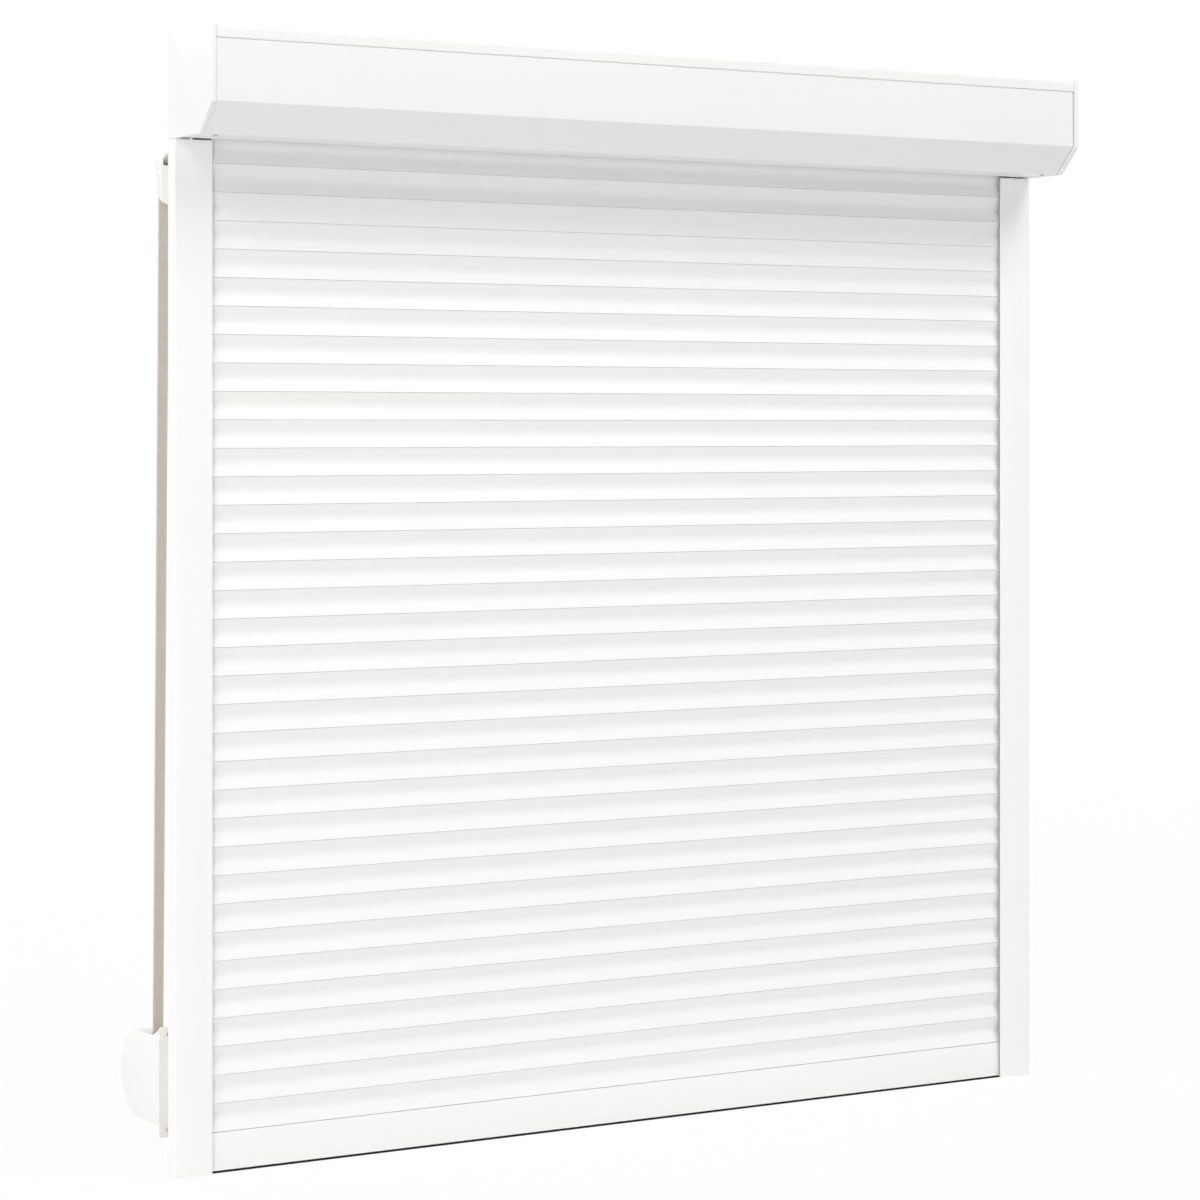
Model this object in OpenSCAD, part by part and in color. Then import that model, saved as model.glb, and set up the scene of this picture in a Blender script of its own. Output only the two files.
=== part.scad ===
// Front-mounted exterior roller shutter with a strap drive, drawn closed.
// Lengths are in mm. X runs to the right seen from outside, Y into the wall, Z up.
// The origin is the middle of the box's back, level with the roller's axis.

/* [Overall] */
// Width over both rails
overall_w = 1386; // [900:1:2200]
// Length of each guide rail
rail_len = 1340; // [800:1:2200]
// Depth of the box end caps
box_d = 137; // [125:1:205]
// Height of the box end caps
box_h = 137; // [125:1:205]
// Height and depth of the sloped lower edge of the box
chamfer = 38; // [25:1:50]

/* [Box] */
// Thickness of an end cap plate
cap_t = 6; // [4:0.5:9]
// Step from the edge of an end cap down to the sheet
shell_drop = 3; // [2:0.5:5]
// Gap between the tops of the rails and the underside of the box
under_gap = 0.5; // [0.3:0.1:4]
// Thickness of the box sheet
sheet_t = 1.2; // [0.8:0.1:2]
// Height of the fixed lip above the front cover
lip_h = 14; // [12:0.5:25]
// Open seam between lip and front cover
seam_gap = 1.5; // [0.8:0.1:3]
// Height of the flange that tucks behind the lip
tuck_h = 9; // [5:0.5:11]
// Gap between the tuck flange and the lip
tuck_gap = 0.4; // [0.3:0.1:1]
// Distance from the rail fronts to the rear edge of the front cover
mouth_gap = 4; // [2:0.5:8]
// Height of the upturned rear edge of the front cover
cover_hem = 12; // [6:1:18]
// Thickness of the end caps' inner rim
rim_t = 2; // [1.5:0.5:4]
// Length of the end caps' inner rim
rim_len = 28; // [26:1:34]
// Distance of the screws from the end caps' plates
screw_inset = 22; // [12:0.5:22.5]
// Thickness of the end caps' tongues in the rails
lug_t = 8; // [5:0.5:9]
// Length of the end caps' tongues in the rails
lug_len = 50; // [25:1:90]
// Play of the tongues in the rails
lug_clear = 0.5; // [0.3:0.1:1]
// Height of the foot that joins a tongue to its plate
lug_foot = 9; // [6:1:12]
// Radius of the cover and sheet screws' heads
screw_head_r = 3.4; // [2.5:0.1:4.5]
// Height of these heads
screw_head_h = 1.8; // [1:0.1:3]
// Radius of the screws' shanks
screw_r = 1.6; // [1:0.1:2.2]
// Length of the screws' shanks
screw_len = 8; // [4:0.5:14]
// Height of the strap's notch in the back sheet
notch_h = 16; // [12:0.5:20]

/* [Rails] */
// Width of a rail
rail_w = 53; // [48:1:66]
// Depth of a rail
rail_d = 22; // [20:1:28]
// Wall of the rail profile
rail_wall = 1.6; // [1.2:0.1:2.2]
// Depth of the slot that takes the slats' ends
slot_depth = 18; // [14:0.5:22]
// Width of a sealing strip along the rail's width
seal_w = 5; // [3:0.5:8]
// Height of the bead that keeps a sealing strip in
bead_h = 1.8; // [1:0.1:2.5]
// Clearance between slats and sealing strips
slat_clear = 0.7; // [0.3:0.1:1.5]
// Radius of the fixing holes in the rails' backs
fix_r = 3; // [2:0.1:4]
// Distance of the upper fixing holes below the top of the rails
fix_top = 150; // [80:1:300]
// Distance of the lower fixing holes above the feet of the rails
fix_foot = 150; // [80:1:300]
// Distance of the fixing holes from the rails' outer sides
fix_inset = 13; // [12:0.5:20]
// Height of the inlet funnels on the rails
funnel_h = 20; // [14:0.5:26]
// Height of the straight throat of an inlet funnel
funnel_throat = 8; // [5:0.5:10]
// Wall of an inlet funnel
funnel_wall = 2; // [1.5:0.1:3]
// How far an inlet funnel flares out in front
funnel_flare = 7; // [4:0.5:8]
// Clearance between slats and inlet funnels
funnel_clear = 1.2; // [0.8:0.1:2]

/* [Curtain] */
// Visible height of a slat
slat_pitch = 37; // [34:0.5:45]
// Thickness of a slat
slat_t = 8; // [7.5:0.1:9]
// Wall of a slat
slat_wall = 0.5; // [0.4:0.05:1]
// How far a slat's lower edge stands out in front of the crease
slat_lip = 2.8; // [2:0.1:3]
// Height of the crease in a slat's face
crease_h = 26; // [20:0.5:28]
// Length of the slats' ends inside the rails
slat_engage = 16; // [10:0.5:17]
// Height of the bottom bar
bar_h = 51; // [40:0.5:70]
// Wall of the bottom bar
bar_wall = 1.2; // [0.8:0.1:2]
// Visible height of the rubber strip under the bottom bar
foot_seal_h = 3.5; // [2:0.5:8]
// Thickness of the rubber strip under the bottom bar
foot_seal_t = 6; // [4:0.5:7]
// How far the rubber strip hangs below the rails
foot_seal_drop = 1.5; // [0:0.1:4]
// Width of a hanger strip
hanger_w = 25; // [15:1:40]
// Thickness of a hanger strip
hanger_t = 0.8; // [0.5:0.1:1.2]
// Distance between hanger strips
hanger_step = 300; // [150:1:400]

/* [Roller] */
// Size of the octagonal tube across its flats
tube_af = 40; // [36:0.5:48]
// Wall of the tube
tube_wall = 0.8; // [0.5:0.1:1.5]
// Radius of the bearing pins
pin_r = 5; // [3:0.1:7]
// Running clearance of the bearing pins
pin_clear = 0.08; // [0.02:0.01:0.1]
// Outer radius of the bearings
bearing_r = 11; // [9:0.1:13]
// Width of the bearings
bearing_w = 5; // [3:0.1:6]
// Radius of the strap pulley's sides
pulley_r = 52; // [45:0.5:56]
// Thickness of the strap pulley's sides
pulley_side = 1.5; // [1:0.1:2]
// Radius of the strap pulley's core
pulley_core = 22; // [15:0.5:24]
// Length of the plugs inside the tube
plug_len = 30; // [15:1:60]
// Play of the plugs in the tube
plug_clear = 0.1; // [0.05:0.05:0.4]
// Distance of the tube's right end from the right end cap
tube_end = 30; // [22:1:80]

/* [Strap] */
// Width of the strap
strap_w = 15; // [12:0.5:18]
// Thickness of the strap
strap_t = 1.2; // [0.8:0.1:2]
// Clearance on each side of the strap
strap_side = 1; // [0.5:0.1:2]
// Distance of the strap's middle from the left end of the box
strap_inset = 25; // [24:0.5:30]
// Thickness of the strap wound on the pulley
wound_up = 7; // [3:0.1:10]
// Thickness of the strap wound on the winder's drum
wound_down = 5; // [1:0.1:10]
// Gap between the running strap and what it runs over
strap_gap = 0.3; // [0.2:0.05:0.6]

/* [Strap guide] */
// Thickness of the wall between the shutter and the strap guide
wall_t = 53; // [30:1:80]
// Width of the strap guide
guide_w = 23; // [20:0.5:30]
// Height of the strap guide
guide_h = 67; // [60:1:90]
// Depth of the strap guide's plate
guide_t = 7; // [5:0.5:10]
// Drop of the strap guide's top below the top of the rails
guide_top = 13; // [8:0.5:20]
// Height of the guide opening's sill above the roller's middle
guide_sill = 4; // [2:0.5:5]
// Depth of the strap guide's hood
hood_d = 15; // [14:0.5:28]
// Wall of the hood and of its cheeks
hood_wall = 2; // [1.5:0.1:3]
// Radius of the guide roller
guide_roller_r = 5.5; // [4:0.1:6]
// Radius of the guide roller's pin
guide_pin_r = 1.5; // [1:0.1:2]

/* [Winder] */
// Height of the drum's axle above the feet of the rails
winder_up = 110; // [90:1:400]
// Width of the mounting flange
flange_w = 28; // [27:0.5:40]
// Thickness of the mounting flange
flange_t = 2.5; // [2:0.1:4]
// Height of the flange above the drum's axle
flange_up = 72; // [72:1:90]
// Depth of the flange below the drum's axle
flange_down = 72; // [72:1:90]
// Distance of the flange's screws from its ends
flange_screw = 9; // [7:0.5:11]
// Radius of the flange's screws
flange_screw_r = 3; // [2:0.1:3.5]
// Height of the heads of the flange's screws
screw_head = 2; // [1:0.1:3.5]
// Length of the flange's screws in the wall
wall_screw = 14; // [8:0.5:40]
// Radius of the round case
case_r = 58; // [53:0.5:58]
// Distance between the flange and the round part of the case
case_gap = 11.5; // [4:0.5:20]
// Width of the case
case_w = 26; // [25.5:0.5:40]
// Wall of the case
case_wall = 1.6; // [1:0.1:2.5]
// Radius of the drum's sides
drum_r = 50; // [42:0.5:50]
// Radius of the drum's core
drum_core = 28; // [22:0.5:30]
// Wall of the drum's core and sides
drum_wall = 1.5; // [1:0.1:2.5]
// Radius of the winder's axle
axle_r = 4; // [3:0.1:6]
// Running clearance of the drum on its axle
axle_clear = 0.08; // [0.02:0.01:0.1]
// Width of the coil spring
spring_w = 12; // [6:0.5:13]
// Thickness of the coil spring's band
spring_t = 0.6; // [0.4:0.1:0.8]

/* [Hidden] */
$fn = 48;
eps = 0.01;
half_w = overall_w / 2;
in_x = half_w - cap_t;
fold = sqrt(2) - 1;
flat_end = box_d - chamfer;
tube_y = -box_d / 2;
tube_z = box_h / 2;
// Curtain plane, slats and rows
plane_y = -rail_d / 2;
slat_x = half_w - rail_w + slat_engage;
bar_top = -rail_len - foot_seal_drop + foot_seal_h + bar_h;
rows = floor(-bar_top / slat_pitch + 0.5) + 1;
runs = 12;
half_t = slat_t / 2;
hook_y = 0.8;
neck = 1.2;
knob = 2;
fit = 0.4;
// Strap route: two cross tangents joined by an arc over the guide roller
strap_x = -half_w + strap_inset;
groove = strap_w / 2 + strap_side;
mid = strap_t / 2 + strap_gap;
up_r = pulley_core + wound_up + mid;
guide_y = wall_t + guide_t + 4;
guide_z = -guide_top - guide_w / 2 - 9;
turn_r = guide_roller_r + mid;
drum_y = wall_t + flange_t + case_gap + case_r;
drum_z = -rail_len + winder_up;
axle_half = (case_w - case_wall) / 2;
down_r = drum_core + wound_down + mid;
d1 = norm([guide_y - tube_y, guide_z - tube_z]);
a1 = atan2(guide_z - tube_z, guide_y - tube_y) + asin((up_r + turn_r) / d1);
d2 = norm([drum_y - guide_y, drum_z - guide_z]);
a2 = atan2(drum_z - guide_z, drum_y - guide_y) - asin((turn_r + down_r) / d2);
arc_n = 10;

function strap_len1() = sqrt(pow(d1, 2) - pow(up_r + turn_r, 2));

// Box outline drawn in by o in front and on top and by u below
function outline(o, u) = [[0, u], [-flat_end + o * sqrt(2) - u, u], [-box_d + o, chamfer + o * fold],
    [-box_d + o, box_h - o], [0, box_h - o]];

// Lowers a piece so that z = 0 is level with the roller's axis
module level() {
    translate([0, 0, -tube_z])
        children();
}

// Turns an outline in Y and Z into a solid from x = a to x = b
module along_x(a, b) {
    translate([a, 0, 0])
        rotate([90, 0, 90])
            linear_extrude(height = b - a)
                children();
}

// Cylinder along X from x = a to x = b
module rod_x(a, b, r, y, z) {
    translate([a, y, z])
        rotate([0, 90, 0])
            cylinder(h = b - a, r = r);
}

module plate_yz(a, b, y0, y1, z0, z1) {
    translate([a, y0, z0])
        cube([b - a, y1 - y0, z1 - z0]);
}

// Fixed sheet: back, top and front lip, with the strap's notch low in the back
module rear_shell() {
    top = box_h - shell_drop;
    front = -box_d + shell_drop;
    low = under_gap;
    color([0.95, 0.95, 0.94])
    difference() {
        along_x(-in_x, in_x)
            polygon([[0, low], [0, top], [front, top], [front, top - lip_h], [front + sheet_t, top - lip_h],
                [front + sheet_t, top - sheet_t], [-sheet_t, top - sheet_t], [-sheet_t, low]]);
        plate_yz(strap_x - groove, strap_x + groove, -2 * sheet_t, sheet_t, -eps, low + notch_h);
        for (x = [-1, 1], y = [0.3, 0.75])
            translate([x * (in_x - screw_inset), -box_d * y, top - sheet_t - eps])
                cylinder(h = sheet_t + 2 * eps, r = screw_r);
    }
}

// Removable sheet: tuck flange, front, slope, underside and upturned rear edge
module front_cover() {
    front = -box_d + shell_drop;
    seam = box_h - shell_drop - lip_h - seam_gap;
    low = under_gap;
    o = outline(shell_drop, low);
    i = outline(shell_drop + sheet_t, low + sheet_t);
    tuck = front + sheet_t + tuck_gap;
    rear = -rail_d - mouth_gap;
    color([0.94, 0.94, 0.93])
    difference() {
        along_x(-in_x, in_x)
            polygon([[front, seam], o[2], o[1], [rear, low], [rear, low + cover_hem],
                [rear - sheet_t, low + cover_hem], [rear - sheet_t, low + sheet_t], i[1], i[2],
                [front + sheet_t, seam - sheet_t], [tuck + sheet_t, seam - sheet_t],
                [tuck + sheet_t, seam + seam_gap + tuck_h], [tuck, seam + seam_gap + tuck_h], [tuck, seam]]);
        for (x = [-1, 1])
            translate([x * (in_x - screw_inset), -flat_end + 12, low - eps])
                cylinder(h = sheet_t + 2 * eps, r = screw_r);
    }
}

// End cap drawn for the left: plate, bearing seat, inner rim and tongue for the rail
module end_cap() {
    seat = cap_t / 2;
    rim = outline(shell_drop + sheet_t, under_gap + sheet_t);
    inner = outline(shell_drop + sheet_t + rim_t, under_gap + sheet_t + rim_t);
    rear = -rail_d - mouth_gap - 2 * sheet_t;
    lug0 = rail_wall + lug_clear;
    difference() {
        union() {
            along_x(-half_w, -in_x)
                polygon(outline(0, 0));
            rod_x(-in_x, -in_x + bearing_w - seat, bearing_r + 4, tube_y, tube_z);
            along_x(-in_x, -in_x + rim_len) {
                polygon([[rear, rim[0][1]], rim[1], rim[2], inner[2], inner[1], [rear, inner[0][1]]]);
                polygon([[-cap_t, rim[3][1]], [rim[3][0] + cap_t, rim[3][1]],
                    [rim[3][0] + cap_t, inner[3][1]], [-cap_t, inner[3][1]]]);
            }
            translate([-half_w + lug0, -rail_d + lug0, -lug_len])
                cube([lug_t, rail_d - 2 * lug0, lug_len]);
            translate([-in_x, -rail_d + lug0, 0])
                cube([lug_t - cap_t + lug0, rail_d - 2 * lug0, lug_foot]);
        }
        rod_x(-half_w + seat, -in_x + bearing_w, bearing_r, tube_y, tube_z);
        for (y = [0.3, 0.75])
            translate([-in_x + screw_inset, -box_d * y, box_h - shell_drop - screw_len])
                cylinder(h = screw_len, r = screw_r);
        translate([-in_x + screw_inset, -flat_end + 12, under_gap])
            cylinder(h = screw_len, r = screw_r);
    }
}

module end_cap_left() {
    color([0.93, 0.93, 0.92])
    end_cap();
}

module end_cap_right() {
    color([0.93, 0.93, 0.92])
    mirror([1, 0, 0])
        end_cap();
}

// Pan-head screws that hold the sheet to the end caps' rims, on top
module shell_screws() {
    color([0.75, 0.76, 0.78])
    for (x = [-1, 1], y = [0.3, 0.75])
        translate([x * (in_x - screw_inset), -box_d * y, box_h - shell_drop]) {
            cylinder(h = screw_head_h, r = screw_head_r);
            translate([0, 0, -screw_len])
                cylinder(h = screw_len, r = screw_r);
        }
}

// Pan-head screws that hold the front cover, from below
module cover_screws() {
    color([0.45, 0.45, 0.45])
    for (x = [-1, 1])
        translate([x * (in_x - screw_inset), -flat_end + 12, under_gap]) {
            translate([0, 0, -screw_head_h])
                cylinder(h = screw_head_h, r = screw_head_r);
            cylinder(h = screw_len, r = screw_r);
        }
}

// Rail drawn for the left: outer hollow chamber, and a slot open towards the curtain
module rail() {
    slot0 = rail_w - slot_depth;
    bead = rail_wall + bead_h;
    difference() {
        translate([-half_w, -rail_d, -rail_len])
            linear_extrude(height = rail_len)
                difference() {
                    square([rail_w, rail_d]);
                    translate([rail_wall, rail_wall])
                        square([slot0 - 2 * rail_wall, rail_d - 2 * rail_wall]);
                    translate([slot0, rail_wall])
                        square([slot_depth - rail_wall, rail_d - 2 * rail_wall]);
                    translate([rail_w - 2 * rail_wall, bead])
                        square([3 * rail_wall, rail_d - 2 * bead]);
                }
        for (z = [-fix_top, -rail_len + fix_foot])
            translate([-half_w + fix_inset, -rail_wall - 1, z])
                rotate([-90, 0, 0])
                    cylinder(h = rail_wall + 2, r = fix_r);
    }
}

module rail_left() {
    color([0.96, 0.96, 0.95])
    rail();
}

module rail_right() {
    color([0.96, 0.96, 0.95])
    mirror([1, 0, 0])
        rail();
}

// Sealing strips behind the slot's beads, in front of and behind the slats
module rail_seals() {
    x1 = -half_w + rail_w - rail_wall;
    depth = rail_d / 2 - rail_wall - half_t - slat_clear;
    for (y = [-rail_d + rail_wall, -rail_wall - depth])
        translate([x1 - seal_w, y, -rail_len])
            cube([seal_w, depth, rail_len]);
}

module rail_seals_left() {
    color([0.55, 0.52, 0.48])
    rail_seals();
}

module rail_seals_right() {
    color([0.55, 0.52, 0.48])
    mirror([1, 0, 0])
        rail_seals();
}

// Flared mouths on top of the rails that lead the slats in
module inlet_funnel() {
    x0 = -half_w + rail_w - slot_depth;
    x1 = -half_w + rail_w;
    f0 = plane_y - half_t - funnel_clear;
    f1 = f0 - funnel_wall;
    along_x(x0, x1)
        polygon([[f1, 0], [f0, 0], [f0, funnel_throat], [f0 - funnel_flare, funnel_h],
            [f1 - funnel_flare, funnel_h], [f1, funnel_throat]]);
    plate_yz(x0, x1, -sheet_t - funnel_wall, -sheet_t, 0, funnel_h);
    plate_yz(x0, x0 + funnel_wall * 0.6, f1, -sheet_t, 0, funnel_throat);
}

module inlet_funnels() {
    color([0.2, 0.2, 0.2]) {
        inlet_funnel();
        mirror([1, 0, 0])
            inlet_funnel();
    }
}

module bearing() {
    difference() {
        rod_x(-half_w + cap_t / 2, -half_w + cap_t / 2 + bearing_w, bearing_r, tube_y, tube_z);
        rod_x(-half_w, -in_x + bearing_w, pin_r + pin_clear, tube_y, tube_z);
    }
}

module bearing_left() {
    color([0.85, 0.86, 0.88])
    bearing();
}

module bearing_right() {
    color([0.85, 0.86, 0.88])
    mirror([1, 0, 0])
        bearing();
}

module octagon(af) {
    rotate(22.5)
        circle(r = af / 2 / cos(22.5), $fn = 8);
}

// Octagonal winding tube
module roller_tube() {
    color([0.72, 0.73, 0.75])
    along_x(strap_x + groove + pulley_side, in_x - tube_end)
        translate([tube_y, tube_z])
            difference() {
                octagon(tube_af);
                octagon(tube_af - 2 * tube_wall);
            }
}

// Strap pulley with its core, plug in the tube and left bearing pin
module strap_pulley() {
    x0 = strap_x - groove;
    x1 = strap_x + groove;
    color([0.9, 0.9, 0.88]) {
        rod_x(x0 - pulley_side, x0, pulley_r, tube_y, tube_z);
        rod_x(x0, x1, pulley_core, tube_y, tube_z);
        rod_x(x1, x1 + pulley_side, pulley_r, tube_y, tube_z);
        rod_x(-half_w + cap_t / 2 + 0.5, x0, pin_r, tube_y, tube_z);
        along_x(x1 + pulley_side, x1 + pulley_side + plug_len)
            translate([tube_y, tube_z])
                octagon(tube_af - 2 * tube_wall - 2 * plug_clear);
    }
}

// Plug in the tube's right end, with its collar and bearing pin
module tube_plug() {
    x1 = in_x - tube_end;
    color([0.3, 0.3, 0.32]) {
        along_x(x1 - plug_len, x1)
            translate([tube_y, tube_z])
                octagon(tube_af - 2 * tube_wall - 2 * plug_clear);
        rod_x(x1, x1 + 4, tube_af / 2 + 2, tube_y, tube_z);
        rod_x(x1 + 4, half_w - cap_t / 2 - 0.5, pin_r, tube_y, tube_z);
    }
}

// Strap wound on the pulley while the curtain is down
module strap_roll_upper() {
    color([0.72, 0.69, 0.65])
    difference() {
        rod_x(strap_x - strap_w / 2, strap_x + strap_w / 2, pulley_core + wound_up, tube_y, tube_z);
        rod_x(strap_x - strap_w, strap_x + strap_w, pulley_core, tube_y, tube_z);
    }
}

// Front of a slat at a height s above its lower edge: dished, and flared towards that edge
function slat_face(s) = let (k = (slat_lip + crease_h * 0.08) / crease_h)
    -half_t + (2 * k - 0.08) * s - k * s * s / crease_h;

// Front of a slat above the crease, which comes forward again to meet the next slat's lower edge
function slat_top(s) = let (k = (s - crease_h) / (slat_pitch - 1.2 - crease_h))
    -half_t + slat_lip - 0.75 * slat_lip * k * k;

// Hook that stands on the upper edge at z = h, in the next slat's groove
function hook_points(h) = let (b = hook_y) [[b - neck, h - 0.3], [b - neck, h + 2.8], [b - knob, h + 3.2],
    [b - knob, h + 5.4], [b + knob, h + 5.4], [b + knob, h + 3.2], [b + neck, h + 2.8], [b + neck, h - 0.3]];

// One slat's section with its hook above and its groove below, z = 0 at the lower edge
module slat_section() {
    h = slat_pitch;
    w = slat_wall;
    a = neck + fit;
    c = knob + fit;
    face = [for (i = [0 : 7]) let (s = 0.3 + (crease_h - 0.3) * i / 7) [slat_face(s), s]];
    brow = [for (i = [1 : 4]) let (s = crease_h + (h - 1.2 - crease_h) * i / 4) [slat_top(s), s]];
    skin = [for (i = [0 : 5]) let (s = 7 + w + (crease_h - 7 - w) * i / 5) [slat_face(s) + w, s]];
    crown = [for (i = [1 : 2]) let (s = crease_h + (h * 0.9 - crease_h) * i / 2) [slat_top(s) + w, s]];
    difference() {
        polygon(concat(face, brow, hook_points(h), [[half_t - 0.6, h * 0.93], [half_t, h * 0.78],
            [half_t, 3], [half_t - 0.5, 0.3], [hook_y + a, 0.3], [hook_y + a, 2.2], [hook_y + c, 2.6],
            [hook_y + c, 7], [hook_y - c, 7], [hook_y - c, 2.6], [hook_y - a, 2.2], [hook_y - a, 0.3]]));
        polygon(concat(skin, crown, [[half_t - 0.9 - w, h * 0.9], [half_t - w, h * 0.76],
            [half_t - w, 7 + w]]));
    }
}

module slats(from, to) {
    color([0.95, 0.95, 0.94])
    for (k = [from : 1 : to - 1])
        translate([0, plane_y, bar_top + (rows - 1 - k) * slat_pitch])
            along_x(-slat_x, slat_x)
                slat_section();
}

// Slats of one of the runs that the curtain is divided into, counted from the top
module slat_run(j) {
    slats(floor(rows * (j - 1) / runs), floor(rows * j / runs));
}

module slat_run_01() { slat_run(1); }
module slat_run_02() { slat_run(2); }
module slat_run_03() { slat_run(3); }
module slat_run_04() { slat_run(4); }
module slat_run_05() { slat_run(5); }
module slat_run_06() { slat_run(6); }
module slat_run_07() { slat_run(7); }
module slat_run_08() { slat_run(8); }
module slat_run_09() { slat_run(9); }
module slat_run_10() { slat_run(10); }
module slat_run_11() { slat_run(11); }
module slat_run_12() { slat_run(12); }

// Spring-steel strips from the top slat's hook to the back of the tube
module hangers() {
    hook = bar_top + rows * slat_pitch;
    y0 = plane_y + hook_y - neck;
    back = tube_y + tube_af / 2;
    flat = tube_af / 2 * tan(22.5);
    n = floor((slat_x - 120) / hanger_step);
    color([0.6, 0.62, 0.65])
    for (k = [-n : 1 : n])
        along_x(k * hanger_step - hanger_w / 2, k * hanger_step + hanger_w / 2)
            polygon([[back, tube_z + flat], [back + hanger_t, tube_z + flat], [back + hanger_t, tube_z - flat],
                [y0, hook + 2.7], [y0, hook + 0.3], [y0 - hanger_t, hook + 0.3], [y0 - hanger_t, hook + 2.3],
                [back, tube_z - flat - hanger_t / 2]]);
}

// Extruded end bar with the same hook, a hollow face and a groove for the rubber strip
module bottom_bar() {
    h = bar_h;
    f = -half_t;
    w = bar_wall;
    color([0.95, 0.95, 0.94])
    translate([0, plane_y, bar_top])
        along_x(-slat_x, slat_x)
            difference() {
                polygon(concat([[f, -h], [f, -6], [f + 2.4, -2]], hook_points(0), [[half_t, -3], [half_t, -h],
                    [1.3, -h], [1.3, -h + 4.5], [-1.3, -h + 4.5], [-1.3, -h]]));
                polygon([[f + w, -h + 4.5 + w], [f + w, -6.5], [f + 2.4 + w, -3.6], [half_t - w, -4.2],
                    [half_t - w, -h + 4.5 + w]]);
            }
}

// Black rubber strip in the bar's groove
module bottom_seal() {
    color([0.08, 0.08, 0.08])
    translate([0, plane_y, bar_top - bar_h])
        along_x(-slat_x, slat_x)
            polygon([[-foot_seal_t / 2, -foot_seal_h], [foot_seal_t / 2, -foot_seal_h], [foot_seal_t / 2, 0],
                [1.3, 0], [1.3, 4], [-1.3, 4], [-1.3, 0], [-foot_seal_t / 2, 0]]);
}

// Points along the strap's face at a distance s from its middle line
function strap_side_points(s) = concat(
    [[tube_y, tube_z] + (up_r - s) * [sin(a1), -cos(a1)]],
    [for (i = [0 : arc_n]) let (a = a1 + 90 + (a2 - a1) * i / arc_n)
        [guide_y, guide_z] + (turn_r + s) * [cos(a), sin(a)]],
    [[drum_y, drum_z] + (down_r - s) * [sin(a2), -cos(a2)]]);

// Strap from the pulley over the guide roller and down to the winder's drum
module strap() {
    up = strap_side_points(strap_t / 2);
    low = strap_side_points(-strap_t / 2);
    color([0.74, 0.71, 0.67])
    along_x(strap_x - strap_w / 2, strap_x + strap_w / 2)
        polygon(concat(up, [for (i = [len(low) - 1 : -1 : 0]) low[i]]));
}

// Strap guide: plate with round ends and a window, and a hood with cheeks behind it
module guide_plate() {
    r = guide_w / 2;
    top = -guide_top - r;
    low = -guide_top - guide_h + r;
    inner = strap_w / 2 + strap_side;
    hood_z = guide_z - guide_roller_r - 3;
    head = -guide_top - 3;
    back = wall_t + guide_t;
    color([0.95, 0.94, 0.9])
    difference() {
        union() {
            translate([strap_x, back, 0])
                rotate([90, 0, 0])
                    linear_extrude(height = guide_t) {
                        translate([0, top])
                            circle(r = r);
                        translate([0, low])
                            circle(r = r);
                        translate([-r, low])
                            square([guide_w, top - low]);
                    }
            plate_yz(strap_x - inner - hood_wall, strap_x + inner + hood_wall, back, back + hood_d, hood_z, head);
        }
        plate_yz(strap_x - inner, strap_x + inner, back, back + hood_d - hood_wall, hood_z - 1,
            head - hood_wall);
        plate_yz(strap_x - inner, strap_x + inner, guide_y - guide_roller_r - 1, back + 1,
            guide_z - guide_roller_r - 1, head - hood_wall);
        plate_yz(strap_x - inner, strap_x + inner, wall_t - 1, back, guide_z + guide_sill, head - hood_wall);
        rod_x(strap_x - inner - hood_wall - 1, strap_x + inner + hood_wall + 1, guide_pin_r, guide_y, guide_z);
    }
}

module guide_roller() {
    half = strap_w / 2 + strap_side - 0.4;
    color([0.85, 0.85, 0.82])
    difference() {
        rod_x(strap_x - half, strap_x + half, guide_roller_r, guide_y, guide_z);
        rod_x(strap_x - strap_w, strap_x + strap_w, guide_pin_r + 0.06, guide_y, guide_z);
    }
}

module guide_pin() {
    half = strap_w / 2 + strap_side + hood_wall;
    color([0.7, 0.7, 0.72])
    rod_x(strap_x - half, strap_x + half, guide_pin_r, guide_y, guide_z);
}

// Mounting flange of the winder, with a shallow field between its two screw tabs
module winder_flange() {
    tab = flange_up - case_r + 4;
    color([0.95, 0.94, 0.92])
    difference() {
        plate_yz(strap_x - flange_w / 2, strap_x + flange_w / 2, wall_t, wall_t + flange_t,
            drum_z - flange_down, drum_z + flange_up);
        plate_yz(strap_x - flange_w / 2 - 1, strap_x + flange_w / 2 + 1, wall_t - 1, wall_t + flange_t / 2,
            drum_z - flange_down + tab, drum_z + flange_up - tab);
        for (z = [drum_z - flange_down + flange_screw, drum_z + flange_up - flange_screw])
            translate([strap_x, wall_t - 1, z])
                rotate([-90, 0, 0])
                    cylinder(h = flange_t + 2, r = flange_screw_r);
    }
}

// Side view of the winder's case drawn in by o, from its flange round the drum
function case_points(o) = let (y0 = wall_t + flange_t, r = case_r - o)
    concat([[y0, drum_z + r], [y0, drum_z - r]],
        [for (i = [0 : 24]) [drum_y + r * sin(i * 7.5), drum_z - r * cos(i * 7.5)]]);

module winder_case() {
    x0 = strap_x - case_w / 2;
    x1 = strap_x + case_w / 2;
    mouth = drum_y - down_r;
    color([0.96, 0.96, 0.95]) {
        difference() {
            along_x(x0, x1)
                polygon(case_points(0));
            along_x(x0 + case_wall, x1 - case_wall)
                polygon(concat([for (p = case_points(case_wall)) p[0] > wall_t + flange_t ? p : p - [1, 0]]));
            plate_yz(strap_x - groove, strap_x + groove, mouth - 4, mouth + 4, drum_z + case_r - 6,
                drum_z + case_r + 6);
            rod_x(strap_x - axle_half, strap_x + axle_half, axle_r, drum_y, drum_z);
        }
    }
}

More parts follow.
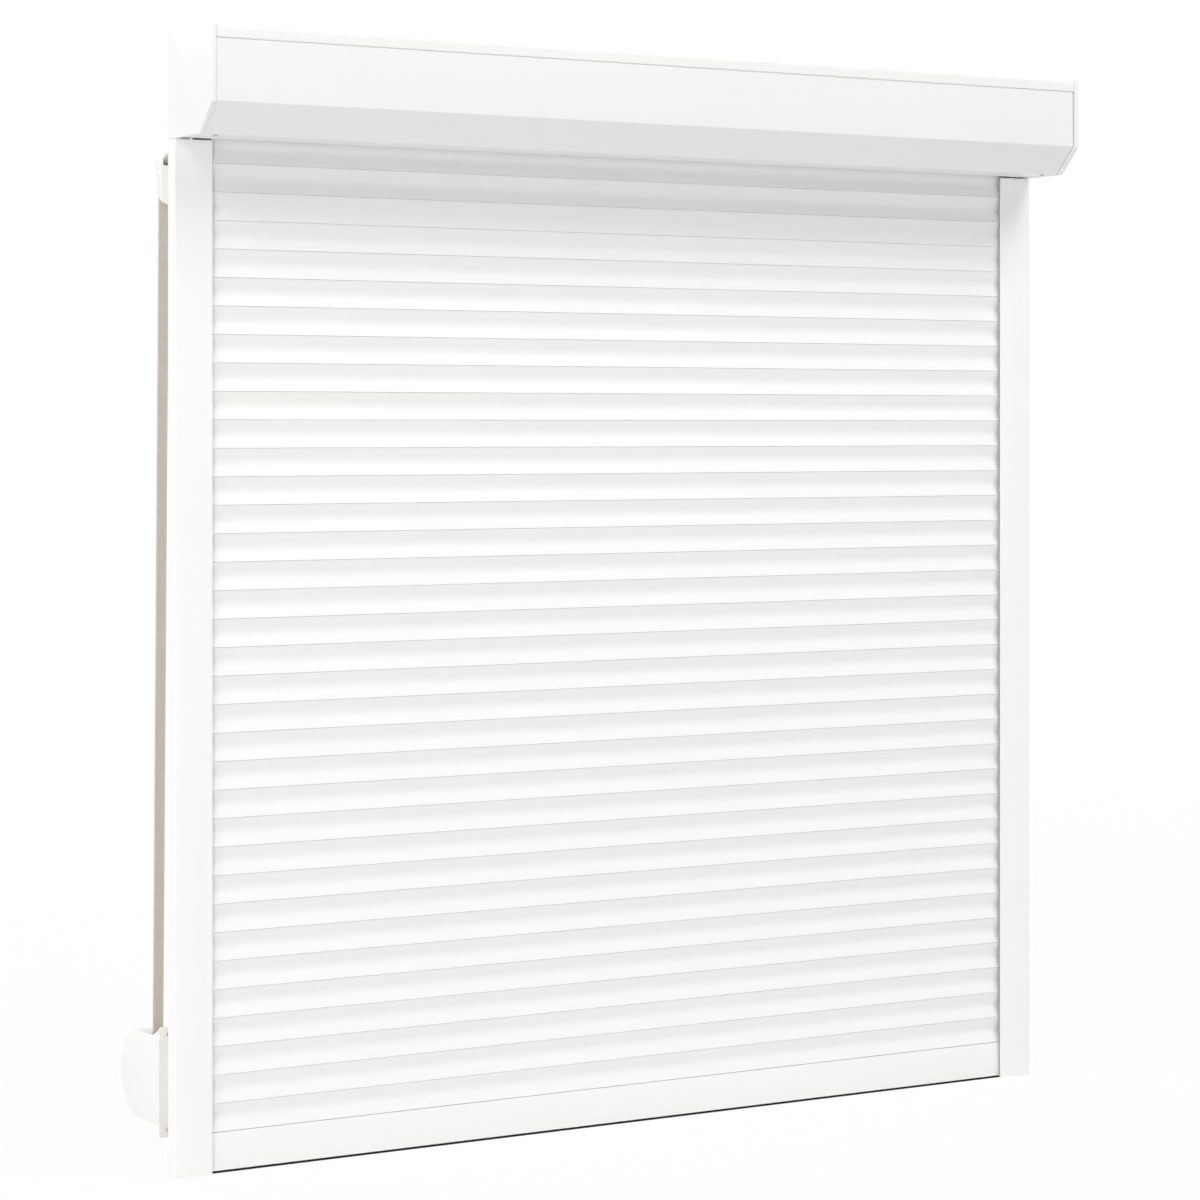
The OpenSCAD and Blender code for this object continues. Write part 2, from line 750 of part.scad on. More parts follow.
// Drum with two sides, a core that holds the spring and a hub on the axle
module winder_drum() {
    x0 = strap_x - groove;
    x1 = strap_x + groove;
    color([0.88, 0.88, 0.86])
    difference() {
        union() {
            rod_x(x0 - drum_wall, x0, drum_r, drum_y, drum_z);
            rod_x(x0, x1, drum_core, drum_y, drum_z);
            rod_x(x1, x1 + drum_wall, drum_r, drum_y, drum_z);
        }
        rod_x(x0 + drum_wall, x1 + drum_wall + 1, drum_core - drum_wall, drum_y, drum_z);
        rod_x(x0 - drum_wall - 1, x0 + drum_wall + 1, axle_r + axle_clear, drum_y, drum_z);
    }
}

module winder_axle() {
    color([0.7, 0.71, 0.73])
    rod_x(strap_x - axle_half, strap_x + axle_half, axle_r, drum_y, drum_z);
}

// Flat coil spring that runs from the drum's core in towards the axle
function coil_points(s) = let (r0 = axle_r + 0.3 + spring_t / 2, r1 = drum_core - drum_wall - spring_t / 2 - 0.05)
    [for (i = [0 : 96]) (r0 + (r1 - r0) * i / 96 + s) * [cos(i * 15), sin(i * 15)]];

module winder_spring() {
    outer = coil_points(spring_t / 2);
    inner = coil_points(-spring_t / 2);
    color([0.45, 0.47, 0.5])
    along_x(strap_x - groove + drum_wall, strap_x - groove + drum_wall + spring_w)
        translate([drum_y, drum_z])
            polygon(concat(outer, [for (i = [len(inner) - 1 : -1 : 0]) inner[i]]));
}

// First turns of the strap on the drum
module strap_roll_lower() {
    color([0.72, 0.69, 0.65])
    difference() {
        rod_x(strap_x - strap_w / 2, strap_x + strap_w / 2, drum_core + wound_down, drum_y, drum_z);
        rod_x(strap_x - strap_w, strap_x + strap_w, drum_core, drum_y, drum_z);
    }
}

// Brass screws through the flange's tabs towards the wall
module winder_screws() {
    color([0.72, 0.56, 0.3])
    for (z = [drum_z - flange_down + flange_screw, drum_z + flange_up - flange_screw])
        translate([strap_x, wall_t + flange_t, z])
            rotate([90, 0, 0]) {
                cylinder(h = flange_t + wall_screw, r = flange_screw_r);
                translate([0, 0, -screw_head])
                    cylinder(h = screw_head, r = flange_screw_r + 1.6);
            }
}

level() rear_shell();
level() front_cover();
level() end_cap_left();
level() end_cap_right();
level() shell_screws();
level() cover_screws();
level() rail_left();
level() rail_right();
level() rail_seals_left();
level() rail_seals_right();
level() inlet_funnels();
level() bearing_left();
level() bearing_right();
level() roller_tube();
level() strap_pulley();
level() tube_plug();
level() strap_roll_upper();
level() hangers();
level() slat_run_01();
level() slat_run_02();
level() slat_run_03();
level() slat_run_04();
level() slat_run_05();
level() slat_run_06();
level() slat_run_07();
level() slat_run_08();
level() slat_run_09();
level() slat_run_10();
level() slat_run_11();
level() slat_run_12();
level() bottom_bar();
level() bottom_seal();
level() strap();
level() guide_plate();
level() guide_roller();
level() guide_pin();
level() winder_flange();
level() winder_case();
level() winder_drum();
level() winder_axle();
level() winder_spring();
level() strap_roll_lower();
level() winder_screws();
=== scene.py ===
import math
import bmesh
import bpy
from mathutils import Matrix, Vector


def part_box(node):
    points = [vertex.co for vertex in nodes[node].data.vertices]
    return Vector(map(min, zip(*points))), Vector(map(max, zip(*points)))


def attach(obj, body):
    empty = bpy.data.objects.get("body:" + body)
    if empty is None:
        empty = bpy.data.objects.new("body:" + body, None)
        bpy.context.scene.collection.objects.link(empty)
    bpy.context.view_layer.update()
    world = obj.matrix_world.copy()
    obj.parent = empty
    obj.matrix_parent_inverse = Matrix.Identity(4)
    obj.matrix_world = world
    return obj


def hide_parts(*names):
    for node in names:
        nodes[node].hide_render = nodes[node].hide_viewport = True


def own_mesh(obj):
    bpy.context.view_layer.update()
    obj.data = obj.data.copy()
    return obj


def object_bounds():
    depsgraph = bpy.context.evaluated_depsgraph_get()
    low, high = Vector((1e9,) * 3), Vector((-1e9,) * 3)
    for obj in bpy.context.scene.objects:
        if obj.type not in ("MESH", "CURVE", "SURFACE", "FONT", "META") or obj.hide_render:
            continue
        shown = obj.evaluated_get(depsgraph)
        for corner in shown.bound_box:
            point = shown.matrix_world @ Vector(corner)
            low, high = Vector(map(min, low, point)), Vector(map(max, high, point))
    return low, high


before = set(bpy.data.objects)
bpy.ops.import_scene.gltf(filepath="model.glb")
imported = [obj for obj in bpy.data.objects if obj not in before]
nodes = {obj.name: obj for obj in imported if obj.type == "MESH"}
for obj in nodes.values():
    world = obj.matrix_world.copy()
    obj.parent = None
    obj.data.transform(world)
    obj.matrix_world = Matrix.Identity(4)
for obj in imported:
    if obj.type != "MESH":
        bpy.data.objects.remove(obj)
cad_low, cad_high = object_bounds()
scene = bpy.context.scene


# Photograph's stand: a long lens held level, 4 m in front of the shutter and well to its left.
# It stands as high as the curtain's upper third, and most of the picture lies below its horizon.
picture_px = 1200
focal_px, horizon_px, middle_px = 3361.4, 427.7, 579.5
film_mm = 36
stand_place, stand_turn = (-2.4402, -4.0136, -0.4416), -30.505
lens = bpy.data.cameras.new("photo_lens")
lens.sensor_width = film_mm
lens.lens = focal_px / picture_px * film_mm
lens.shift_x = 0.5 - middle_px / picture_px
lens.shift_y = horizon_px / picture_px - 0.5
camera = bpy.data.objects.new("photo_camera", lens)
camera.location = stand_place
camera.rotation_euler = (math.radians(90), 0, math.radians(stand_turn))
scene.collection.objects.link(camera)
scene.camera = camera
scene.view_settings.view_transform = "Standard"


# Studio round the shutter: a white room, two soft boxes high in front, two low ones on the left and one behind.
# The room and the pale floor are seen as white, and the floor still takes the shutter's shadow.
white = (1, 1, 1, 1)
room_light = 0.3
soft_boxes = {  # place, target, size in metres, and watts
    "box_high_right": ((2.9, -4.6, 6.7), (0, 0, -0.7), 4.2, 385),
    "box_high_left": ((-6.1, -4.5, 4.9), (-0.3, 0, -0.7), 3.6, 211),
    "box_left_front": ((-6.4, -7.6, -0.9), (0, 0, -0.7), 3.0, 250),
    "box_left_side": ((-8.5, 0.9, -0.4), (-0.6, 0.05, -0.7), 3.0, 144),
    "box_behind": ((-1.5, 6.5, 3.5), (0, 0, -0.7), 3.6, 240),
}
floor_grey = (0.85, 0.85, 0.85, 1)
floor_drop, floor_reach = 0.0005, 40
near_glow, fade_start, fade_end = 0.95, 1.5, 6


def put(tree, kind, settings=None, order=(), **inputs):
    """Places a shader node; inputs are set by name or in order, and sockets among them are linked."""
    made = tree.nodes.new("ShaderNode" + kind)
    for name, value in (settings or {}).items():
        setattr(made, name, value)
    named = [(name.replace("_", " "), value) for name, value in inputs.items()]
    for key, value in list(enumerate(order)) + named:
        if isinstance(value, bpy.types.NodeSocket):
            tree.links.new(value, made.inputs[key])
        elif value is not None:
            made.inputs[key].default_value = value
    return made


def math_of(tree, operation, *values, clamp=False):
    return put(tree, "Math", {"operation": operation, "use_clamp": clamp}, order=values).outputs[0]


def span(tree, value, low, high, to_low, to_high):
    return put(tree, "MapRange", order=(value, low, high, to_low, to_high)).outputs[0]


def seen_directly(tree):
    """1 for rays from the camera or off gloss and glass, which look at the white room itself."""
    path = put(tree, "LightPath")
    gloss = math_of(tree, "ADD", path.outputs["Is Glossy Ray"], path.outputs["Is Transmission Ray"])
    return math_of(tree, "ADD", path.outputs["Is Camera Ray"], gloss, clamp=True)


def cleared(owner):
    """Node tree of a world or a material, emptied for shaders of its own."""
    owner.use_nodes = True
    owner.node_tree.nodes.clear()
    return owner.node_tree


def oblong(u_low, v_low, u_high, v_high):
    return [(u_low, v_low), (u_high, v_low), (u_high, v_high), (u_low, v_high)]


room = bpy.data.worlds.new("white_room")
tree = cleared(room)
lit = put(tree, "Background", Color=white, Strength=room_light)
shown = put(tree, "Background", Color=white, Strength=1)
both = put(tree, "MixShader", order=(seen_directly(tree), lit.outputs[0], shown.outputs[0]))
put(tree, "OutputWorld", Surface=both.outputs[0])
scene.world = room

for name, (place, target, size, watts) in soft_boxes.items():
    lamp = bpy.data.lights.new(name, "AREA")
    lamp.shape, lamp.size, lamp.energy = "SQUARE", size, watts
    held = bpy.data.objects.new(name, lamp)
    held.location = place
    held.rotation_euler = (Vector(target) - Vector(place)).to_track_quat("-Z", "Y").to_euler()
    scene.collection.objects.link(held)

floor_z = cad_low.z - floor_drop
floor_mesh = bpy.data.meshes.new("floor")
corners = [(x, y, floor_z) for x, y in oblong(-floor_reach, -floor_reach, floor_reach, floor_reach)]
floor_mesh.from_pydata(corners, [], [(0, 1, 2, 3)])
floor = bpy.data.objects.new("floor", floor_mesh)
scene.collection.objects.link(floor)
pale = bpy.data.materials.new("pale_floor")
tree = cleared(pale)
matt = put(tree, "BsdfDiffuse", Color=floor_grey)
glow = put(tree, "Emission", Color=white, Strength=1)
spot = put(tree, "TexCoord").outputs["Object"]
away = put(tree, "VectorMath", {"operation": "LENGTH"}, order=(spot,)).outputs["Value"]
fade = span(tree, away, fade_start, fade_end, near_glow, 1)
share = math_of(tree, "MULTIPLY", seen_directly(tree), fade)
mixed = put(tree, "MixShader", order=(share, matt.outputs[0], glow.outputs[0]))
put(tree, "OutputMaterial", Surface=mixed.outputs[0])
floor_mesh.materials.append(pale)


# Back sheet of the box: one length of coated aluminium folded over the back, the top and down into a front lip.
# It is screwed to the end caps' rims, and a notch low in its back lets the strap out.
MM = 0.001
sheet_thick, fold_radius, lip_deep = 1.2, 2.4, 14
strap_x = -668
notch_half, notch_low, notch_high, notch_corner, notch_reach = 8.5, -80, -52, 3, 5
crease = 32


def offset_side(direction):
    """The direction turned a quarter to the left."""
    return Vector((-direction.y, direction.x))


def fillet(a, corner, b, radius, step):
    """Points round the corner between a and b, each with the way that the outline runs there."""
    before, after = (corner - a).normalized(), (b - corner).normalized()
    turn = before.angle(after)
    sign = 1 if before.x * after.y - before.y * after.x > 0 else -1
    hub = corner - before * radius * math.tan(turn / 2) + offset_side(before) * sign * radius
    steps = max(2, round(math.degrees(turn) / step))
    made = []
    for k in range(steps + 1):
        way = before.copy()
        way.rotate(Matrix.Rotation(sign * turn * k / steps, 2))
        made.append((hub - offset_side(way) * sign * radius, way))
    return made


def folded(path, thick, radius, step=15):
    """Closed outline of a folded sheet: path is its outer face, and the thickness lies on the path's left."""
    path = [Vector(p) for p in path]
    edge = [(path[0], (path[1] - path[0]).normalized())]
    for a, corner, b in zip(path, path[1:], path[2:]):
        edge += fillet(a, corner, b, radius, step)
    edge.append((path[-1], (path[-1] - path[-2]).normalized()))
    inner = [p + offset_side(way) * thick for p, way in edge]
    return [tuple(p) for p, _ in edge] + [tuple(p) for p in inner[::-1]]


def rounded(points, radius=0, step=15):
    """Closed outline with each corner rounded; a corner may give its own radius as a third number."""
    made = []
    count = len(points)
    for i, point in enumerate(points):
        corner, a, b = (Vector(points[j % count][:2]) for j in (i, i - 1, i + 1))
        wanted = point[2] if len(point) > 2 else radius
        turn = (corner - a).angle(b - corner)
        if wanted <= 0 or turn < 0.02:
            made.append(tuple(corner))
            continue
        room_for = 0.49 * min((corner - a).length, (b - corner).length) / math.tan(turn / 2)
        made += [tuple(p) for p, _ in fillet(a, corner, b, min(wanted, room_for), step)]
    return made


def shifted(loop, u, v):
    return [(u + a, v + b) for a, b in loop]


def add_prism(shape, loops, along, start, stop):
    """Adds a bar of this section; along is the axis letter, and the loops after the first are hollows."""
    order = {"x": (2, 0, 1), "y": (0, 2, 1), "z": (0, 1, 2)}[along]
    rims = {start: [], stop: []}
    for loop in loops:
        rings = {}
        for end in (start, stop):
            ring = [shape.verts.new([(u, v, end)[k] for k in order]) for u, v in loop]
            rims[end] += [shape.edges.new((ring[i - 1], ring[i])) for i in range(len(ring))]
            rings[end] = ring
        low, high = rings[start], rings[stop]
        for i in range(len(low)):
            shape.faces.new((low[i - 1], low[i], high[i], high[i - 1]))
    for end in (start, stop):
        bmesh.ops.triangle_fill(shape, use_beauty=True, edges=rims[end])


def shade(mesh, angle):
    """Smooth shading that stays crisp at edges sharper than this angle, in degrees."""
    mesh.shade_smooth()
    mesh.set_sharp_from_angle(angle=math.radians(angle))


def piece_of(name, shape, angle=crease):
    """Turns a shape, drawn in mm in the shared frame, into a smooth-shaded object with crisp edges."""
    bmesh.ops.recalc_face_normals(shape, faces=shape.faces)
    shape.transform(Matrix.Scale(MM, 4))
    mesh = bpy.data.meshes.new(name)
    shape.to_mesh(mesh)
    shape.free()
    shade(mesh, angle)
    made = bpy.data.objects.new(name, mesh)
    scene.collection.objects.link(made)
    return made


def extruded(name, loops, along, start, stop):
    shape = bmesh.new()
    add_prism(shape, loops, along, start, stop)
    return piece_of(name, shape)


def apply_modifiers(piece):
    solid = bpy.data.meshes.new_from_object(piece.evaluated_get(bpy.context.evaluated_depsgraph_get()))
    spent = piece.data
    piece.modifiers.clear()
    piece.data = solid
    bpy.data.meshes.remove(spent)


def combine(piece, tool, operation):
    """Adds the tool to the piece or takes it out of it, and uses the tool up."""
    step = piece.modifiers.new("combine", "BOOLEAN")
    step.operation, step.solver, step.object = operation, "EXACT", tool
    apply_modifiers(piece)
    bpy.data.objects.remove(tool)
    shade(piece.data, crease)


def cut_through(piece, loop, along, start, stop):
    combine(piece, extruded("cutter", [loop], along, start, stop), "DIFFERENCE")


def fit(piece, material, body, slot, *replaced):
    """Gives a piece its finish, the body it moves with and the CAD nodes it stands for; slot is not used."""
    piece.data.materials.clear()
    piece.data.materials.append(material)
    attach(piece, body)
    if replaced:
        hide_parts(*replaced)


def box_mm(node):
    """A CAD node's lowest and highest corners, in mm."""
    return [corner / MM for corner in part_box(node)]


def blend_colour(tree, factor, a, b):
    not_colours = (None,) * 5
    return put(tree, "Mix", {"data_type": "RGBA"}, order=(factor, *not_colours, a, b)).outputs[2]


def noise(tree, vector, scale, detail, roughness=0.5, **more):
    made = put(tree, "TexNoise", Vector=vector, Scale=scale, Detail=detail, Roughness=roughness, **more)
    return made.outputs["Fac"]


def stretched(tree, vector, factors):
    return put(tree, "VectorMath", {"operation": "MULTIPLY"}, order=(vector, factors)).outputs[0]


def open_skin(name, inputs):
    """New node group for a finish that puts out a colour, a roughness and a height; close_skin fills them."""
    group = bpy.data.node_groups.new(name, "ShaderNodeTree")
    for socket, kind, value in inputs:
        made = group.interface.new_socket(socket, in_out="INPUT", socket_type="NodeSocket" + kind)
        made.default_value = value
    for socket, kind in (("Colour", "Color"), ("Roughness", "Float"), ("Height", "Float")):
        group.interface.new_socket(socket, in_out="OUTPUT", socket_type="NodeSocket" + kind)
    return group, group.nodes.new("NodeGroupInput").outputs, put(group, "TexCoord").outputs["Object"]


def close_skin(group, colour, roughness, height):
    out = group.nodes.new("NodeGroupOutput").inputs
    for socket, source in (("Colour", colour), ("Roughness", roughness), ("Height", height)):
        group.links.new(source, out[socket])


def new_material(name, **fixed):
    """A material with its tree and its shader; fixed sets plain values on the shader's own sockets."""
    made = bpy.data.materials.new(name)
    made.use_nodes = True
    shader = made.node_tree.nodes["Principled BSDF"]
    for socket, value in fixed.items():
        shader.inputs[socket.replace("_", " ")].default_value = value
    return made, made.node_tree, shader


def dress(tree, shader, colour, height, bump, depth, roughness=None):
    """Links colour, relief and, where it varies, roughness to the shader; depth is in metres."""
    relief = put(tree, "Bump", Strength=bump, Distance=depth, Height=height).outputs[0]
    for socket, source in (("Base Color", colour), ("Roughness", roughness), ("Normal", relief)):
        if source is not None:
            tree.links.new(source, shader.inputs[socket])


def skinned(name, group, bump, depth, fixed, **values):
    """A material that wears one of the finish groups with its own values."""
    made, tree, shader = new_material(name, **fixed)
    skin = put(tree, "Group", {"node_tree": group}, **values).outputs
    dress(tree, shader, skin["Colour"], skin["Height"], bump, depth, skin["Roughness"])
    return made


# Its coating is powder or coil paint: a fine orange peel, soft patches in tone and gloss,
# and faint lines the way the metal was drawn. Caps, rails, slats and end bar wear it too.
coated_white = (0.885, 0.885, 0.868, 1)
coat, has, spot = open_skin("coating", [
    ("Colour", "Color", coated_white), ("Patch", "Color", (0.8, 0.8, 0.78, 1)), ("Lines", "Vector", (1, 1, 1)),
    ("Gloss low", "Float", 0.3), ("Gloss high", "Float", 0.42),
])
peel = noise(coat, spot, scale=620, detail=2)
lines = noise(coat, stretched(coat, spot, has["Lines"]), scale=260, detail=3, roughness=0.6)
patches = noise(coat, spot, scale=5, detail=3, roughness=0.55)
mask = math_of(coat, "MULTIPLY", span(coat, patches, 0.35, 0.7, 0, 1), span(coat, lines, 0.3, 0.7, 0.2, 0.5))
close_skin(
    coat,
    colour=blend_colour(coat, mask, has["Colour"], has["Patch"]),
    roughness=span(
        coat, math_of(coat, "MULTIPLY", patches, lines), 0.1, 0.45, has["Gloss low"], has["Gloss high"]
    ),
    height=math_of(coat, "MULTIPLY_ADD", lines, 0.35, peel),
)


def coated(name, colour, patch, lines, gloss, bump):
    """Coated aluminium: lines stretches the grain along the way the piece was folded, rolled or pressed."""
    return skinned(
        name, coat, bump, 0.0002, {"Specular_IOR_Level": 0.42},
        Colour=colour, Patch=patch, Lines=lines, Gloss_low=gloss[0], Gloss_high=gloss[1],
    )


box_white = coated(
    "box_white", coated_white, patch=(0.868, 0.868, 0.852, 1), lines=(0.05, 1, 1), gloss=(0.3, 0.42), bump=0.12
)
sheet_low, sheet_high = box_mm("rear_shell")
lip_low = sheet_high.z - lip_deep
back_path = [
    (sheet_high.y, sheet_low.z), (sheet_high.y, sheet_high.z),
    (sheet_low.y, sheet_high.z), (sheet_low.y, lip_low),
]
back_loop = folded(back_path, sheet_thick, fold_radius)
back_sheet = extruded("box_back_sheet", [back_loop], "x", sheet_low.x, sheet_high.x)
notch = [
    (-notch_half, notch_low), (notch_half, notch_low),
    (notch_half, notch_high, notch_corner), (-notch_half, notch_high, notch_corner),
]
cut_through(back_sheet, shifted(rounded(notch), strap_x, 0), "y", -notch_reach, notch_reach)
fit(back_sheet, box_white, "casing", "box_white", "rear_shell")


# Front cover of the box: folded coated sheet, hooked up behind the lip and screwed from below at both ends.
# Its front drops to a sloped edge, turns under towards the curtain and ends in an upturned hem.
# It is pushed against the left cap, so that its play shows at the right one.
seam_gap, tuck_play, edge_ease = 1.5, 0.4, 0.9
slope_top, slope_foot, hem_rise = -29.26, -95.26, 12
left_gap, right_gap = 0.25, 1.8
cover_low, cover_high = box_mm("front_cover")
cover_front = cover_low.y
seam_z = lip_low - seam_gap
tuck_front = cover_front + sheet_thick + tuck_play
tuck_back = tuck_front + sheet_thick
cover_path = [
    (cover_front, seam_z), (cover_front, slope_top), (slope_foot, cover_low.z),
    (cover_high.y, cover_low.z), (cover_high.y, cover_low.z + hem_rise),
]
tuck = [
    (tuck_back, seam_z - sheet_thick), (tuck_back, cover_high.z), (tuck_front, cover_high.z),
    (tuck_front, seam_z), (cover_front + edge_ease, seam_z), (cover_front, seam_z - edge_ease),
]
cover_loop = folded(cover_path, sheet_thick, fold_radius)[1:-1] + tuck
cover = extruded("box_front_cover", [cover_loop], "x", cover_low.x + left_gap, cover_high.x - right_gap)
fit(cover, box_white, "casing", "box_white", "front_cover")


# End caps of the box: cast aluminium plates, coated like the sheet and standing a little proud of it all round.
# Each has a bearing seat, two rim strips that the sheets are screwed to, and a tongue that plugs into its rail.
# The lower strip has a groove beside the plate, which makes the cover's end line dark.
hands = (("left", -1), ("right", 1))
cap_half, cap_inner, cap_deep = 693, 687, 137
cap_corner, cap_edge = 2.5, 1.1
soft_crease, bevel_from = 35, 40
cap_outline = [(0, -68.5), (-99, -68.5), (-cap_deep, -30.5), (-cap_deep, 68.5), (0, 68.5)]
shaft_y = -68.5
seat_profile = [(11, 0), (15, 0), (15, 2.4), (14.5, 3), (11.4, 3), (11, 2.6), (11, 0)]
strip_inside = [(-130.8, -27.93), (-93.93, -64.8), (-28.4, -64.8)]
low_strip = [(-28.4, -66.8), (-94.76, -66.8), (-132.8, -28.76)] + strip_inside
groove_strip = [(-28.4, -65.4), (-94.18, -65.4), (-131.4, -28.18)] + strip_inside
top_strip = oblong(-6, 64.3, -126.8, 62.3)
rim_strips = (  # outline, corner radius, and where it starts and ends from the plate's inner face
    (groove_strip, 0.2, 0.5, -3.5), (low_strip, 0.4, -3, -28), (top_strip, 0.4, 0.5, -28)
)
tongue, tongue_corner, tongue_low, tongue_high = oblong(690.9, -19.9, 682.9, -2.1), 0.8, -118.5, -59.5
cap_white = coated(
    "cap_white", (0.895, 0.895, 0.88, 1), patch=(0.875, 0.875, 0.86, 1),
    lines=(1, 1, 1), gloss=(0.34, 0.46), bump=0.2,
)


def soften(piece, width, segments):
    """Rounds the piece's crisp edges by width, in mm."""
    edge = piece.modifiers.new("edge", "BEVEL")
    edge.width, edge.segments = width * MM, segments
    edge.limit_method, edge.angle_limit = "ANGLE", math.radians(bevel_from)
    edge.use_clamp_overlap = True
    apply_modifiers(piece)
    shade(piece.data, soft_crease)


def add_lathe(shape, profile, place, sides=32):
    """Adds a turned shape: profile is radius and height along Z, and place is the matrix that sets it down."""
    angles = [2 * math.pi * k / sides for k in range(sides)]
    rings = []
    for r, h in profile:
        ring = [(r * math.cos(a), r * math.sin(a), h) for a in angles] if r else [(0, 0, h)]
        rings.append([shape.verts.new(place @ Vector(p)) for p in ring])
    for low, high in zip(rings, rings[1:]):
        for k in range(sides):
            lower = low if len(low) == 1 else [low[k - 1], low[k]]
            upper = high if len(high) == 1 else [high[k], high[k - 1]]
            shape.faces.new(lower + upper)


for hand, side in hands:
    cap = extruded(
        "box_cap_" + hand, [rounded(cap_outline, cap_corner)], "x", side * cap_inner, side * cap_half
    )
    soften(cap, cap_edge, 3)
    inside = bmesh.new()
    inward = Matrix.Rotation(-side * math.pi / 2, 4, "Y")
    seat = Matrix.Translation((side * (cap_inner + 1), shaft_y, 0)) @ inward
    add_lathe(inside, seat_profile, seat, 48)
    for outline, corner, start, stop in rim_strips:
        loop = rounded(outline, corner)
        add_prism(inside, [loop], "x", side * (cap_inner + start), side * (cap_inner + stop))
    tongue_loop = rounded([(side * u, v) for u, v in tongue], tongue_corner)
    add_prism(inside, [tongue_loop], "z", tongue_low, tongue_high)
    bmesh.ops.recalc_face_normals(inside, faces=inside.faces)
    inside.transform(Matrix.Scale(MM, 4))
    inside.from_mesh(cap.data)
    inside.to_mesh(cap.data)
    inside.free()
    shade(cap.data, soft_crease)
    fit(cap, cap_white, "casing", "box_white", "end_cap_" + hand)


# Box screws: small zinc-plated pan heads with a cross slot. Four on top hold the back sheet to the caps,
# and one below at each end holds the front cover.
cap_screw_x, top_screw_z, low_screw_y, low_screw_z = 665, 65.5, -87, -68
top_screw_shares = (0.3, 0.75)
small_screw = {"head": (3.4, 1.8), "shank": 1.6, "length": 8, "thread": 1.1}
steel_grey = (0.52, 0.53, 0.54, 1)
worn, has, spot = open_skin("turned_metal", [
    ("Colour", "Color", steel_grey), ("Dull", "Color", (0.3, 0.3, 0.3, 1)), ("Lines", "Vector", (1, 1, 1)),
    ("Scale", "Float", 900.0),
])
fine = noise(worn, stretched(worn, spot, has["Lines"]), has["Scale"], detail=4, roughness=0.65)
stain = noise(worn, spot, scale=90, detail=4, roughness=0.6)
close_skin(
    worn,
    colour=blend_colour(worn, span(worn, stain, 0.4, 0.75, 0, 0.7), has["Colour"], has["Dull"]),
    roughness=span(worn, math_of(worn, "ADD", fine, stain), 0.6, 1.4, 0.22, 0.5),
    height=fine,
)


def bare_metal(name, colour, dull, lines, scale, bump):
    """Uncoated metal with fine working lines; lines stretches them along the way it was drawn or turned."""
    return skinned(
        name, worn, bump, 0.0001, {"Metallic": 1}, Colour=colour, Dull=dull, Lines=lines, Scale=scale
    )


def screws(name, places, head, shank, length, thread):
    """Screws at these matrices, heads up along Z: a domed head with a cross slot and a threaded shank."""
    wide, high = head
    slot_floor = high * 0.45
    profile = [
        (0, slot_floor), (wide * 0.16, slot_floor), (wide * 0.2, high), (wide * 0.62, high * 0.93),
        (wide * 0.9, high * 0.62), (wide, high * 0.2), (wide, 0), (shank, 0),
    ]
    half_turns = 2 * int(length / thread)
    profile += [(shank * (0.86 if k % 2 else 1), -k * thread / 2) for k in range(1, half_turns)]
    profile += [(shank * 0.5, -length + 0.4), (0, -length)]
    shape = bmesh.new()
    for place in places:
        add_lathe(shape, profile, place, 24)
    made = piece_of(name, shape)
    arm, reach = wide * 0.1, wide * 0.62
    cross = [(arm, arm), (reach, arm), (reach, -arm), (arm, -arm), (arm, -reach), (-arm, -reach)]
    cross += [(-u, -v) for u, v in cross]
    slots = bmesh.new()
    for place in places:
        start = len(slots.verts)
        add_prism(slots, [cross], "z", slot_floor, high + 1)
        slots.verts.ensure_lookup_table()
        for v in slots.verts[start:]:
            v.co = place @ v.co
    combine(made, piece_of("cutter", slots), "DIFFERENCE")
    return made


screw_steel = bare_metal(
    "screw_steel", steel_grey, dull=(0.3, 0.3, 0.31, 1), lines=(1, 1, 1), scale=1100, bump=0.15
)
top_places = [
    Matrix.Translation((side * cap_screw_x, -cap_deep * share, top_screw_z))
    for _, side in hands for share in top_screw_shares
]
top_screws = screws("box_screws_top", top_places, **small_screw)
fit(top_screws, screw_steel, "casing", "screw_steel", "shell_screws")
head_down = Matrix.Rotation(math.pi, 4, "X")
low_places = [
    Matrix.Translation((side * cap_screw_x, low_screw_y, low_screw_z)) @ head_down for _, side in hands
]
low_screws = screws("box_screws_cover", low_places, **small_screw)
fit(low_screws, screw_steel, "casing", "screw_steel", "cover_screws")


# Winding shaft inside the box: an octagonal steel tube on two pins.
# The strap pulley is moulded on its left plug, and the pins turn in ball bearings pressed into the end caps.
tube_steel = bare_metal(
    "tube_steel", (0.6, 0.61, 0.62, 1), dull=(0.42, 0.43, 0.44, 1), lines=(0.03, 1, 1), scale=500, bump=0.2
)
bearing_steel = bare_metal(
    "bearing_steel", (0.7, 0.71, 0.73, 1), dull=(0.5, 0.5, 0.52, 1), lines=(1, 1, 1), scale=1400, bump=0.1
)
moulded, has, spot = open_skin("moulding", [
    ("Colour", "Color", (0.85, 0.85, 0.82, 1)), ("Flow", "Color", (0.8, 0.8, 0.77, 1)),
    ("Roughness", "Float", 0.42),
])
grain = noise(moulded, spot, scale=1500, detail=2, roughness=0.6)
flow = noise(moulded, spot, scale=28, detail=3, Distortion=0.6)
smoothest = math_of(moulded, "SUBTRACT", has["Roughness"], 0.08)
close_skin(
    moulded,
    colour=blend_colour(moulded, span(moulded, flow, 0.35, 0.7, 0, 1), has["Colour"], has["Flow"]),
    roughness=math_of(moulded, "MULTIPLY_ADD", grain, 0.16, smoothest),
    height=grain,
)


def plastic(name, colour, flow, roughness, bump):
    """Injection-moulded plastic: fine grain from the tool and faint flow marks in its colour."""
    return skinned(name, moulded, bump, 0.0001, {}, Colour=colour, Flow=flow, Roughness=roughness)


def finish_node(node, material):
    """A CAD piece that keeps its own shape and takes a worked finish."""
    kept = nodes[node]
    kept.data.materials.clear()
    kept.data.materials.append(material)


